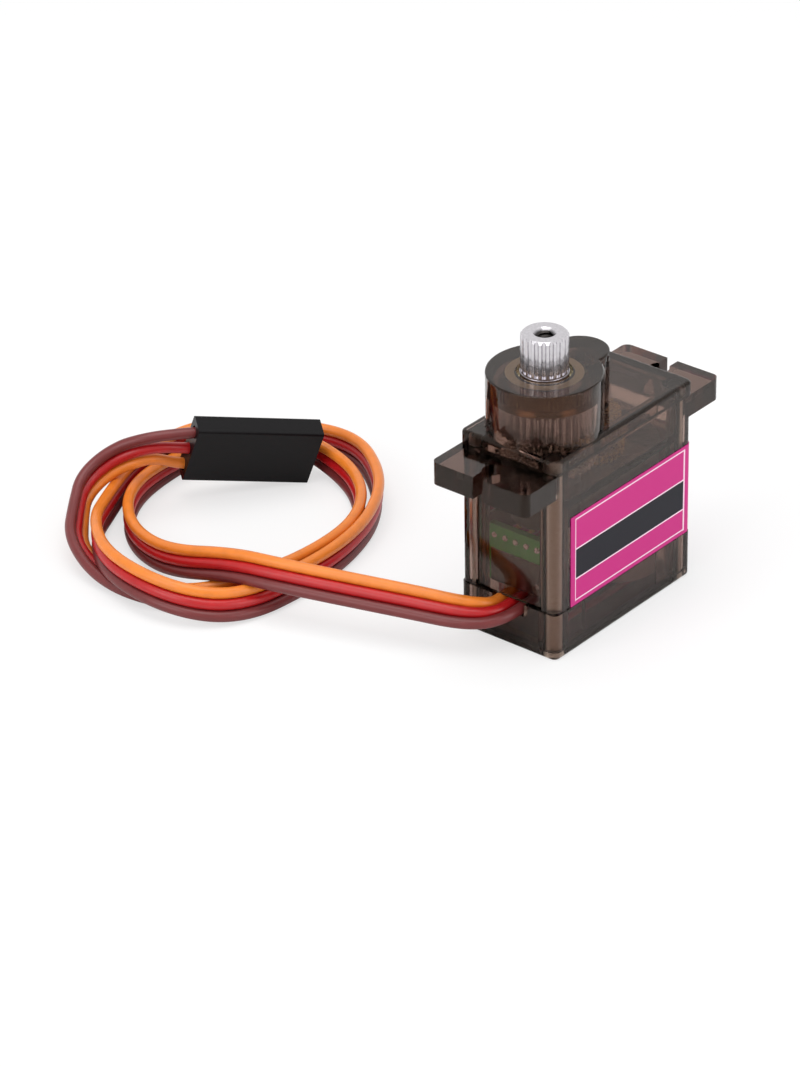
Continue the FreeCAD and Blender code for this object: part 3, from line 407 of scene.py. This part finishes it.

# %% [markdown]
# ## Painted shade in the shaft's hole
# Little light gets into the tapped hole of the output shaft, so the steel is painted nearly black in there as
# shade. A second solid for the hole's wall would do it, but the distance from the shaft's axis says the same
# with a few nodes.

# %% Dark hole in the shaft
race_low, race_high = [Vector(corner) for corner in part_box("bearing_outer_race")]
axis = (race_low + race_high) / 2
# Radii where the painted shade ends and the lit steel starts, and how much of the tint is left in the shade.
DARKEST_R, LIT_R, SHADED_SHARE = 0.9, 1.12, 0.12


def painted_hole_shade(tree, place, tint):
    """The tint of a part that turns about the shaft's axis, with painted shade inside its hole."""
    beside = add_node(tree, "ShaderNodeVectorMath", {0: place, 1: axis}, operation="SUBTRACT").outputs[0]
    level = add_node(tree, "ShaderNodeVectorMath", {0: beside, 1: (1, 1, 0)}, operation="MULTIPLY").outputs[0]
    reach = add_node(tree, "ShaderNodeVectorMath", {0: level}, operation="LENGTH").outputs["Value"]
    lit_share = add_node(tree, "ShaderNodeMapRange", {
        "Value": reach, "From Min": DARKEST_R * MM, "From Max": LIT_R * MM, "To Min": SHADED_SHARE}).outputs[0]
    return add_node(tree, "ShaderNodeVectorMath", {0: tint, 1: lit_share}, operation="MULTIPLY").outputs[0]


print("shaft axis in mm:", [round(v / MM, 2) for v in axis])

# %% [markdown]
# ## Turned, ground and stamped metals
# Each metal part is described by its colour, how rough its surface is and what the tool left on it: fine
# rings from turning, a random grain from grinding or tumbling, or the soft dents of stamping. One function
# takes those, because only the numbers differ. Metals keep the shader's own index of refraction.

# %% A bare metal
# Metres across a ridge of a wave texture of scale one. From ridge to ridge it is about three times as far.
WAVE_RIDGE = 0.1
# How far the roughness wanders either way, as a share, and how strongly the marks tilt the light.
METAL_WEAR, METAL_MARKS = 0.25, 0.35


def metal(name, tint, rough, grain_mm, mark_depth, shade=0.12, ridge_mm=0.0, tapped=False):
    """A bare metal: tint, roughness, grain size, depth of the marks and, for turned parts, ridge width."""
    material, tree, shader, place, grain, colour = grained_material(name, tint, grain_mm, shade)
    shader.inputs["Metallic"].default_value = 1.0
    # Painted shade inside the shaft's tapped hole.
    if tapped:
        colour = painted_hole_shade(tree, place, colour)
    tree.links.new(colour, shader.inputs["Base Color"])
    worn = add_node(tree, "ShaderNodeMapRange", {
        "Value": grain, "To Min": rough * (1 - METAL_WEAR), "To Max": rough * (1 + METAL_WEAR)})
    tree.links.new(worn.outputs[0], shader.inputs["Roughness"])
    height = grain
    if ridge_mm:
        height = add_node(tree, "ShaderNodeTexWave", {
            "Vector": place, "Scale": WAVE_RIDGE * per_metre(ridge_mm), "Distortion": 0.6,
            "Detail": 1.0}, bands_direction="Z").outputs["Fac"]
    marks = add_node(tree, "ShaderNodeBump", {
        "Height": height, "Strength": METAL_MARKS, "Distance": mark_depth * MM})
    tree.links.new(marks.outputs[0], shader.inputs["Normal"])
    return material


print("wave scale for ridges of 0.25 mm:", round(WAVE_RIDGE * per_metre(0.25), 1))

# %% Steels
# Turned: fine rings that spread each highlight upward. Real ones are a few hundredths of a millimetre apart,
# and they are drawn coarser so that they show.
# Its tapped hole gets painted shade.
output_steel = metal("turned_steel", "#cfccd0", 0.24, 0.3, 0.01, ridge_mm=0.25, tapped=True)
# The same steel painted nearly black as shade inside the hole, with a dull gleam on the thread's crests.
shaded_thread_steel = metal("painted_dark_thread_steel", "#3c3938", 0.34, 0.3, 0.01)
# Ground: smooth and bright, faintly yellow from its grease.
bearing_steel = metal("ground_bearing_steel", "#d6c8a4", 0.22, 0.2, 0.003)
# Pressed from sheet: duller and a little darker than the ground races, with the same greasy tint.
shield_steel = metal("pressed_shield_steel", "#b9ab8c", 0.35, 0.3, 0.003)
# Hobbed: the cutter leaves short marks that read as a fine grain.
gear_steel = metal("hobbed_steel", "#c2c0bc", 0.26, 0.25, 0.008)
# Plated: nickel and zinc leave a soft shine, a warm grey on the motor's can and a paler one on the screws.
motor_steel = metal("nickel_plated_steel", "#bdbab5", 0.3, 0.6, 0.01)
screw_steel = metal("zinc_plated_screw_steel", "#c4c3be", 0.32, 0.2, 0.006)
print("steels:", len([m for m in bpy.data.materials if m.name.endswith("steel")]))

# %% Brasses, solder and copper
# Pressed and hobbed brass: a greyish yellow, dulled by oil.
cage_brass = metal("pressed_brass", "#c0a56c", 0.3, 0.4, 0.006)
gear_brass = metal("hobbed_brass", "#bfa878", 0.28, 0.25, 0.008)
# Contact brass under thin tin: a clearer yellow, because no oil gets there.
contact_brass = metal("tinned_contact_brass", "#d8b36a", 0.3, 0.3, 0.006)
# Solder: it freezes with a soft, slightly lumpy shine.
solder = metal("tin_solder", "#c9c9c8", 0.28, 0.3, 0.01)
# Enamelled copper: orange-brown, in strands. Real ones are as fine as a hair, and are drawn coarser to show.
winding_copper = metal("enamelled_copper", "#b8632e", 0.28, 0.18, 0.05, ridge_mm=0.16)
print("other metals:", [m.name for m in (cage_brass, gear_brass, contact_brass, solder, winding_copper)])

# %% [markdown]
# ## Plastics, ferrite, lacquer and film
# The parts that aren't metal are moulded, extruded, sintered or laminated. What tells them apart is how
# glossy the skin is and how coarse its texture: nylon is fairly smooth, sintered ferrite is dull and gritty,
# and the board has a green lacquer over a glass weave. Again one function takes the numbers.

# %% A plain coloured solid
# The same two for a moulded skin, which is a little more even.
SKIN_WEAR, SKIN_MARKS = 0.2, 0.3


def moulded(name, tint, rough, grain_mm, mark_depth, ior=1.5, shade=0.1, coat=0.0, gloss=0.3):
    """A coloured solid: tint, roughness, grain size and depth, refraction, shade, clear coat and gloss."""
    material, tree, shader, _, grain, colour = grained_material(name, tint, grain_mm, shade)
    shader.inputs["IOR"].default_value = ior
    shader.inputs["Specular IOR Level"].default_value = gloss
    shader.inputs["Coat Weight"].default_value = coat
    tree.links.new(colour, shader.inputs["Base Color"])
    skin = add_node(tree, "ShaderNodeMapRange", {
        "Value": grain, "To Min": rough * (1 - SKIN_WEAR), "To Max": rough * (1 + SKIN_WEAR)})
    tree.links.new(skin.outputs[0], shader.inputs["Roughness"])
    marks = add_node(tree, "ShaderNodeBump", {
        "Height": grain, "Strength": SKIN_MARKS, "Distance": mark_depth * MM})
    tree.links.new(marks.outputs[0], shader.inputs["Normal"])
    return material


PVC_IOR = 1.53
# Extruded PVC: long soft highlights, and a skin that swells a little along the wire.
wire_orange = moulded("orange_pvc", "#e37f2b", 0.32, 1.2, 0.02, ior=PVC_IOR, gloss=0.4)
wire_red = moulded("red_pvc", "#b21419", 0.32, 1.2, 0.02, ior=PVC_IOR, gloss=0.4)
wire_brown = moulded("brown_pvc", "#6e2b2b", 0.34, 1.2, 0.02, ior=PVC_IOR, gloss=0.35)
# The motor's own leads have thinner insulation, with a finer and duller skin.
lead_red = moulded("thin_red_pvc", "#b3251d", 0.38, 0.8, 0.01, ior=PVC_IOR)
print("insulation:", [m.name for m in (wire_orange, wire_red, wire_brown, lead_red)])

# %% Black, dull and green parts
NYLON_IOR = 1.53
# Moulded nylon: a deep black with a weak sheen.
black_plastic = moulded("black_nylon", "#0a080a", 0.34, 0.5, 0.02, ior=NYLON_IOR, gloss=0.14)
# Moulded phenolic: a brownish black that is duller than nylon.
pot_plastic = moulded("black_phenolic", "#26211e", 0.45, 0.4, 0.02)
# Screen-printed carbon: an even, dull black.
pot_track_film = moulded("carbon_film", "#1c1c1e", 0.5, 0.2, 0.01)
# Sintered ferrite: dull and gritty, with a brown cast.
magnet_ferrite = moulded("sintered_ferrite", "#35332f", 0.6, 0.2, 0.03)
# Moulded epoxy of the chips: matt, from a sandblasted mould.
chip_epoxy = moulded("epoxy_chip", "#1d1f21", 0.5, 0.25, 0.01)
# Green lacquer over glass cloth: glossy on top, with a faint texture under it.
board_green = moulded("solder_mask_on_glass", "#3fa84a", 0.3, 0.4, 0.01, coat=0.4)
print("blacks:", [m.name for m in (black_plastic, pot_plastic, pot_track_film, magnet_ferrite, chip_epoxy)])

# %% [markdown]
# ## Printed film label
# The label is a film printed in magenta, with a dark navy band and thin pale rules, wrapped round one end of
# the case. An image could hold such a print, but its edges would blur. The print is a few straight bands, so
# two colour ramps with sharp steps will do: one turns the height into an ink, and one turns the length into
# the places of the frame's two upright rules. No words go on it. The clear laminate over the ink is a thin
# coat.

# %% Inks and bands of the label
RULE = 0.16
FRAME_FOOT, BAND_FOOT, BAND_TOP, FRAME_TOP = 5.66, 8.05, 11.55, 14.95
FRAME_START, FRAME_END = -8.3, 9.95
RAMP_HEIGHT, RAMP_HALF = 20.0, 15.0     # how high, and how far along either way, the two ramps reach
MAGENTA, PALE_PINK, NAVY = hex_colour("#c3267c"), hex_colour("#f2d2e2"), hex_colour("#12121c")
OUTSIDE, INSIDE, ON_RULE = 0.0, 0.5, 1.0
# Where each ink starts, going up, and where the frame's parts start, going along, both in millimetres.
INKS = [(0.0, MAGENTA), (FRAME_FOOT, PALE_PINK), (FRAME_FOOT + RULE, MAGENTA), (BAND_FOOT, PALE_PINK),
        (BAND_FOOT + RULE, NAVY), (BAND_TOP, PALE_PINK), (BAND_TOP + RULE, MAGENTA),
        (FRAME_TOP, PALE_PINK), (FRAME_TOP + RULE, MAGENTA)]
FRAME_PARTS = [(-RAMP_HALF, OUTSIDE), (FRAME_START, ON_RULE), (FRAME_START + RULE, INSIDE),
               (FRAME_END, ON_RULE), (FRAME_END + RULE, OUTSIDE)]
print("label bands:", len(INKS), "frame parts:", len(FRAME_PARTS))

# %% Label
label_film, tree, shader, _, place = new_material("printed_vinyl_film")
shader.inputs["Roughness"].default_value = 0.34
shader.inputs["Specular IOR Level"].default_value = 0.12
shader.inputs["Coat Weight"].default_value = 0.06
shader.inputs["Coat Roughness"].default_value = 0.12
split = add_node(tree, "ShaderNodeSeparateXYZ", {0: place})
height = add_node(tree, "ShaderNodeMath", {
    0: split.outputs["Z"], 1: 1 / (RAMP_HEIGHT * MM)}, operation="MULTIPLY").outputs[0]
along = add_node(tree, "ShaderNodeMapRange", {
    "Value": split.outputs["X"], "From Min": -RAMP_HALF * MM, "From Max": RAMP_HALF * MM}).outputs[0]
upward_steps = [(z / RAMP_HEIGHT, ink) for z, ink in INKS]
lengthwise_steps = [((x + RAMP_HALF) / (2 * RAMP_HALF), (part, part, part, 1)) for x, part in FRAME_PARTS]
bands = []
for position, steps in ((height, upward_steps), (along, lengthwise_steps)):
    ramp = add_node(tree, "ShaderNodeValToRGB", {"Fac": position})
    ramp.color_ramp.interpolation = "CONSTANT"
    elements = ramp.color_ramp.elements
    while len(elements) < len(steps):
        elements.new(0.5)
    for element, (where, _) in zip(elements, steps):
        element.position = where
    for element, (_, colour) in zip(elements, steps):
        element.color = colour
    bands.append(ramp.outputs["Color"])
upward_ink, frame_part = bands
print("sharp steps:", len(upward_steps), "up and", len(lengthwise_steps), "along")

# %% [markdown]
# ## Frame on the label
# The upright rules end where the frame does, at its foot and top, and outside the frame the film is plain
# magenta. Comparisons give those masks, and two mixes lay the inks over each other.

# %% Label frame
inside = add_node(tree, "ShaderNodeMath", {
    0: frame_part, 1: (OUTSIDE + INSIDE) / 2}, operation="GREATER_THAN").outputs[0]
on_rule = add_node(tree, "ShaderNodeMath", {
    0: frame_part, 1: (INSIDE + ON_RULE) / 2}, operation="GREATER_THAN").outputs[0]
above = add_node(tree, "ShaderNodeMath", {
    0: split.outputs["Z"], 1: FRAME_FOOT * MM}, operation="GREATER_THAN").outputs[0]
below = add_node(tree, "ShaderNodeMath", {
    0: split.outputs["Z"], 1: (FRAME_TOP + RULE) * MM}, operation="LESS_THAN").outputs[0]
between = add_node(tree, "ShaderNodeMath", {0: above, 1: below}, operation="MULTIPLY").outputs[0]
upright = add_node(tree, "ShaderNodeMath", {0: on_rule, 1: between}, operation="MULTIPLY").outputs[0]
banded = add_node(tree, "ShaderNodeMixRGB", {
    "Fac": inside, "Color1": MAGENTA, "Color2": upward_ink}).outputs[0]
ruled = add_node(tree, "ShaderNodeMixRGB", {
    "Fac": upright, "Color1": banded, "Color2": PALE_PINK}).outputs[0]
tree.links.new(ruled, shader.inputs["Base Color"])
print("label nodes:", len(tree.nodes))

# %% [markdown]
# ## Turned profiles
# Two small things that the engineering model has no need for are plain to see here: the thread in the shaft's
# end, and the thin shield that closes the ball bearing under the clear roof. Both could be faked with a bump,
# but a bump doesn't change an outline. So they are real geometry, and both are turned: a few points in the
# plane of the axis are carried round it, and for the thread also down it.

# %% A profile carried round an axis
RING_FACETS = 48


def swept_profile(name, profile, centre, turns=1.0, rise=0.0, facets=RING_FACETS):
    """A profile of (radius, height) pairs carried round an upright axis, and along it where it rises."""
    mesh = bmesh.new()
    steps = round(facets * turns)
    closed = rise == 0.0
    rings = []
    for step in range(steps if closed else steps + 1):
        angle = 2 * math.pi * step / facets
        lift = rise * step / facets
        ring = []
        for radius, z in profile:
            x = centre.x + radius * math.cos(angle)
            y = centre.y + radius * math.sin(angle)
            ring.append(mesh.verts.new((x, y, z + lift)))
        rings.append(ring)
    following = rings[1:] + ([rings[0]] if closed else [])
    for one, two in zip(rings, following):
        for index in range(len(profile)):
            after = (index + 1) % len(profile)
            mesh.faces.new((one[index], one[after], two[after], two[index]))
    if not closed:
        mesh.faces.new(list(reversed(rings[0])))
        mesh.faces.new(rings[-1])
    bmesh.ops.recalc_face_normals(mesh, faces=mesh.faces)
    return placed_solid(name, mesh)


print("a ring of 4 mm radius is round to within mm:", round(4 * (1 - math.cos(math.pi / RING_FACETS)), 3))

# %% [markdown]
# ## Thread in the shaft's hole
# The screw that holds a servo's arm goes into a tapped hole in the shaft's end. The thread is a ridge with
# two flanks and a narrow crest, ten turns long. It starts a little below the shaft's end, where a real one
# has its chamfer.

# %% Horn screw thread
HOLE_R, THREAD_DEPTH, THREAD_PITCH, THREAD_TURNS, THREAD_FACETS = 0.85, 0.16, 0.45, 10, 32
THREAD_START, FLANK, CREST = 0.2, 0.16, 0.04
shaft_end = Vector(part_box("output_gear")[1]).z
thread_top = shaft_end - THREAD_START * MM
thread_profile = [(HOLE_R * MM, thread_top),
                  ((HOLE_R - THREAD_DEPTH) * MM, thread_top - FLANK * MM),
                  ((HOLE_R - THREAD_DEPTH) * MM, thread_top - (FLANK + CREST) * MM),
                  (HOLE_R * MM, thread_top - (2 * FLANK + CREST) * MM)]
thread = swept_profile("horn_screw_thread", thread_profile, axis, THREAD_TURNS, -THREAD_PITCH * MM,
                       THREAD_FACETS)
thread.data.materials.append(shaded_thread_steel)
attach(thread, "output")
print("thread length in mm:", THREAD_PITCH * THREAD_TURNS)

# %% [markdown]
# ## Bearing shield
# Small ball bearings are closed by a thin pressed ring, and it shows through the clear roof of the tower as a
# pale band round the shaft. It covers the outer race too, and is pressed a few hundredths of a millimetre
# into the soft roof, because two surfaces in exactly one place can't both be drawn.

# %% Bearing shield
SHIELD_IN, SHIELD_OUT, SHIELD_THICK, SHIELD_PRESS = 3.05, 3.97, 0.06, 0.03
shield_top = race_high.z + SHIELD_PRESS * MM
shield_foot = shield_top - SHIELD_THICK * MM
shield_profile = [(SHIELD_IN * MM, shield_top), (SHIELD_OUT * MM, shield_top),
                  (SHIELD_OUT * MM, shield_foot), (SHIELD_IN * MM, shield_foot)]
shield = swept_profile("bearing_shield", shield_profile, axis)
shield.data.materials.append(shield_steel)
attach(shield, "case")
print("shield radii in mm:", SHIELD_IN, SHIELD_OUT)

# %% [markdown]
# ## Painted shade on the board
# The wires shade the lower half of the board. That shade is painted as a dark brown patch shaped like a lump
# of glue, and it shows through the end wall as a dark, uneven shape. It could be sculpted, but a small grid
# pushed out in soft lumps by a formula is enough for something seen through smoked plastic. It is thin at its
# edges and has a flat back against the board.

# %% Shape of the painted shade
# How far up the painted shade reaches, how much its top waves and how lumpy it is, all as shares.
SHADE_REACH, TOP_WAVE, LUMPINESS = 0.86, 0.14, 0.25
# How fast it thickens from the sides, the top and the foot, and the share it has at the very foot.
SIDE_SLOPE, TOP_SLOPE, FOOT_SLOPE, FOOT_SHARE = 6.0, 5.0, 8.0, 0.2
SHADE_THICK = 0.32


def shade_patch_height(across, up):
    """Thickness of the painted shade patch as a share: full inside, thin at the edges, in soft lumps."""
    # The numbers inside the sines only set where the waves and the lumps fall.
    wavy_top = SHADE_REACH + TOP_WAVE * math.sin(9.0 * across + 0.6) * math.cos(4.0 * across)
    edge = min(1.0, SIDE_SLOPE * across, SIDE_SLOPE * (1 - across),
               TOP_SLOPE * max(0.0, wavy_top - up), FOOT_SLOPE * up + FOOT_SHARE)
    lumps = (1 - LUMPINESS) + LUMPINESS * math.sin(17.0 * across + 2.0 * up) * math.sin(11.0 * up + 1.0)
    return max(0.0, edge) ** 0.5 * lumps


print("glue thickness in the middle in mm:", round(SHADE_THICK * shade_patch_height(0.5, 0.5), 2))

# %% Painted shade on the board
SHADE_TOP, SHADE_ROWS, SHADE_COLUMNS = 3.7, 14, 24
SHADE_INSET, SHADE_LEAST, SHADE_BACK = 0.03, 0.01, 0.005
board_low, board_high = [Vector(corner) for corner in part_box("circuit_board")]
shade_patch_mesh = bmesh.new()
front, back = [], []
for row in range(SHADE_ROWS + 1):
    up = row / SHADE_ROWS
    z = board_low.z + SHADE_TOP * MM * up
    for column in range(SHADE_COLUMNS + 1):
        across = column / SHADE_COLUMNS
        y = board_low.y + (board_high.y - board_low.y) * (SHADE_INSET + (1 - 2 * SHADE_INSET) * across)
        proud = (SHADE_LEAST + SHADE_THICK * shade_patch_height(across, up)) * MM
        front.append(shade_patch_mesh.verts.new((board_low.x - proud, y, z)))
        back.append(shade_patch_mesh.verts.new((board_low.x - SHADE_BACK * MM, y, z)))
for row in range(SHADE_ROWS):
    for column in range(SHADE_COLUMNS):
        corner = row * (SHADE_COLUMNS + 1) + column
        square = (corner, corner + 1, corner + SHADE_COLUMNS + 2, corner + SHADE_COLUMNS + 1)
        shade_patch_mesh.faces.new([front[i] for i in square])
        shade_patch_mesh.faces.new([back[i] for i in reversed(square)])
rim = [edge for edge in shade_patch_mesh.edges if len(edge.link_faces) == 1]
bmesh.ops.bridge_loops(shade_patch_mesh, edges=rim)
bmesh.ops.recalc_face_normals(shade_patch_mesh, faces=shade_patch_mesh.faces)
for face in shade_patch_mesh.faces:
    face.smooth = True
shade_patch = placed_solid("board_painted_shade", shade_patch_mesh)
# Painted shade of the wires: a dark, waxy brown in uneven patches.
shade_patch.data.materials.append(moulded("painted_shade_brown", "#3a2417", 0.3, 0.8, 0.05, shade=0.35))
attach(shade_patch, "case")
print("glue height in mm:", SHADE_TOP)

# %% [markdown]
# ## Giving each solid its finish
# The record of the model names a material slot for each solid. Each solid could be dressed in a line of its
# own, but one table from slot to finish covers them all, and the three wires too.

# %% Dress the solids
FINISHES = {
    "smoked_plastic": smoked, "label_film": label_film, "board_green": board_green, "solder": solder,
    "output_steel": output_steel, "bearing_steel": bearing_steel, "gear_steel": gear_steel,
    "motor_steel": motor_steel, "screw_steel": screw_steel, "cage_brass": cage_brass,
    "gear_brass": gear_brass, "contact_brass": contact_brass, "winding_copper": winding_copper,
    "pot_plastic": pot_plastic, "pot_track_film": pot_track_film, "black_plastic": black_plastic,
    "magnet_ferrite": magnet_ferrite, "chip_ceramic": chip_epoxy, "lead_red": lead_red,
    "wire_orange": wire_orange, "wire_red": wire_red, "wire_brown": wire_brown}
slot_of = {row["node"]: row["material_slot"] for row in frame["record"]["subparts"]}
for node_name, node in nodes.items():
    node.data.materials.clear()
    node.data.materials.append(FINISHES[slot_of[node_name]])
for name, piece in wires.items():
    slot = slot_of[f"{name}_wire"]
    piece.data.materials.append(FINISHES[slot])
print("dressed:", len(nodes), "solids and", len(wires), "wires")

# %% [markdown]
# ## Floor
# The object stands on a plain pale sheet of paper, as on a small product table. More light would whiten the
# sheet, but would wash out the object too. So the sheet glows a little for the camera only: it runs into the
# white background and keeps the object's soft shadow.

# %% Floor
# Half the sheet's side in metres, and the share of pure white in what the camera sees of it.
FLOOR_HALF, FLOOR_GLOW = 3.0, 0.62
floor_corners = [(-FLOOR_HALF, -FLOOR_HALF, 0), (FLOOR_HALF, -FLOOR_HALF, 0),
                 (FLOOR_HALF, FLOOR_HALF, 0), (-FLOOR_HALF, FLOOR_HALF, 0)]
floor_mesh = bpy.data.meshes.new("floor")
floor_mesh.from_pydata(floor_corners, [], [(0, 1, 2, 3)])
floor = placed("floor", floor_mesh)
# Matt paper: an even near-white with no highlight.
paper, tree, shader, output, _ = new_material("matt_white_paper")
shader.inputs["Base Color"].default_value = hex_colour("#eeeeee")
shader.inputs["Roughness"].default_value = 0.9
rays = add_node(tree, "ShaderNodeLightPath")
glow = add_node(tree, "ShaderNodeEmission", {"Color": hex_colour("#ffffff"), "Strength": 1.0})
seen = add_node(tree, "ShaderNodeMath", {
    0: rays.outputs["Is Camera Ray"], 1: FLOOR_GLOW}, operation="MULTIPLY")
pale = add_node(tree, "ShaderNodeMixShader", {
    0: seen.outputs[0], 1: shader.outputs[0], 2: glow.outputs[0]})
tree.links.new(pale.outputs[0], output.inputs["Surface"])
floor_mesh.materials.append(paper)
print("floor:", [round(v, 2) for v in floor.dimensions])

# %% [markdown]
# ## Lamps
# Three large soft lamps: one overhead, one from the lead's side and one from the label's side. Small lamps
# would give hard shadows and points of light. Big ones give long soft highlights on metal and wires. Their
# light stays low enough that a colour looks about as it was chosen.

# %% Lamps
LAMP_TARGET = (0.0, 0.015, 0.012)
# Name, place and size in metres, and power in watts.
LAMPS = [("overhead", (-0.05, 0.0, 0.55), 0.5, 2.0),
         ("left", (-0.55, 0.1, 0.3), 0.4, 1.3),
         ("front", (0.1, -0.6, 0.28), 0.4, 1.2)]
for name, spot, size, watts in LAMPS:
    lamp_data = bpy.data.lights.new(name, "AREA")
    lamp_data.size = size
    lamp_data.energy = watts
    lamp = placed(name, lamp_data)
    toward = Vector(LAMP_TARGET) - Vector(spot)
    lamp.matrix_world = Matrix.Translation(spot) @ toward.to_track_quat("-Z", "Y").to_matrix().to_4x4()
print("lamps:", len(LAMPS))

# %% [markdown]
# ## Background
# The room is white. The camera, shiny metal and clear plastic see it as full white, so that what they mirror
# or let through matches what stands round them. For the light that falls on matt surfaces it is only about
# half as strong, which leaves the lamps their shadows.

# %% World
ROOM_LIGHT = 0.55
world = bpy.data.worlds.new("studio")
bpy.context.scene.world = world
world.use_nodes = True
tree = world.node_tree
tree.nodes.clear()
rays = add_node(tree, "ShaderNodeLightPath")
straight = add_node(tree, "ShaderNodeMath", {
    0: rays.outputs["Is Camera Ray"], 1: rays.outputs["Is Transmission Ray"]}, operation="MAXIMUM")
mirrored = add_node(tree, "ShaderNodeMath", {
    0: straight.outputs[0], 1: rays.outputs["Is Glossy Ray"]}, operation="MAXIMUM")
room = add_node(tree, "ShaderNodeBackground", {"Color": hex_colour("#ffffff"), "Strength": ROOM_LIGHT})
backdrop = add_node(tree, "ShaderNodeBackground", {"Color": hex_colour("#ffffff"), "Strength": 1.0})
mixed = add_node(tree, "ShaderNodeMixShader", {
    0: mirrored.outputs[0], 1: room.outputs[0], 2: backdrop.outputs[0]})
add_node(tree, "ShaderNodeOutputWorld", {"Surface": mixed.outputs[0]})
bpy.context.scene.view_settings.view_transform = "Standard"
print("room light:", ROOM_LIGHT, "view:", bpy.context.scene.view_settings.view_transform)
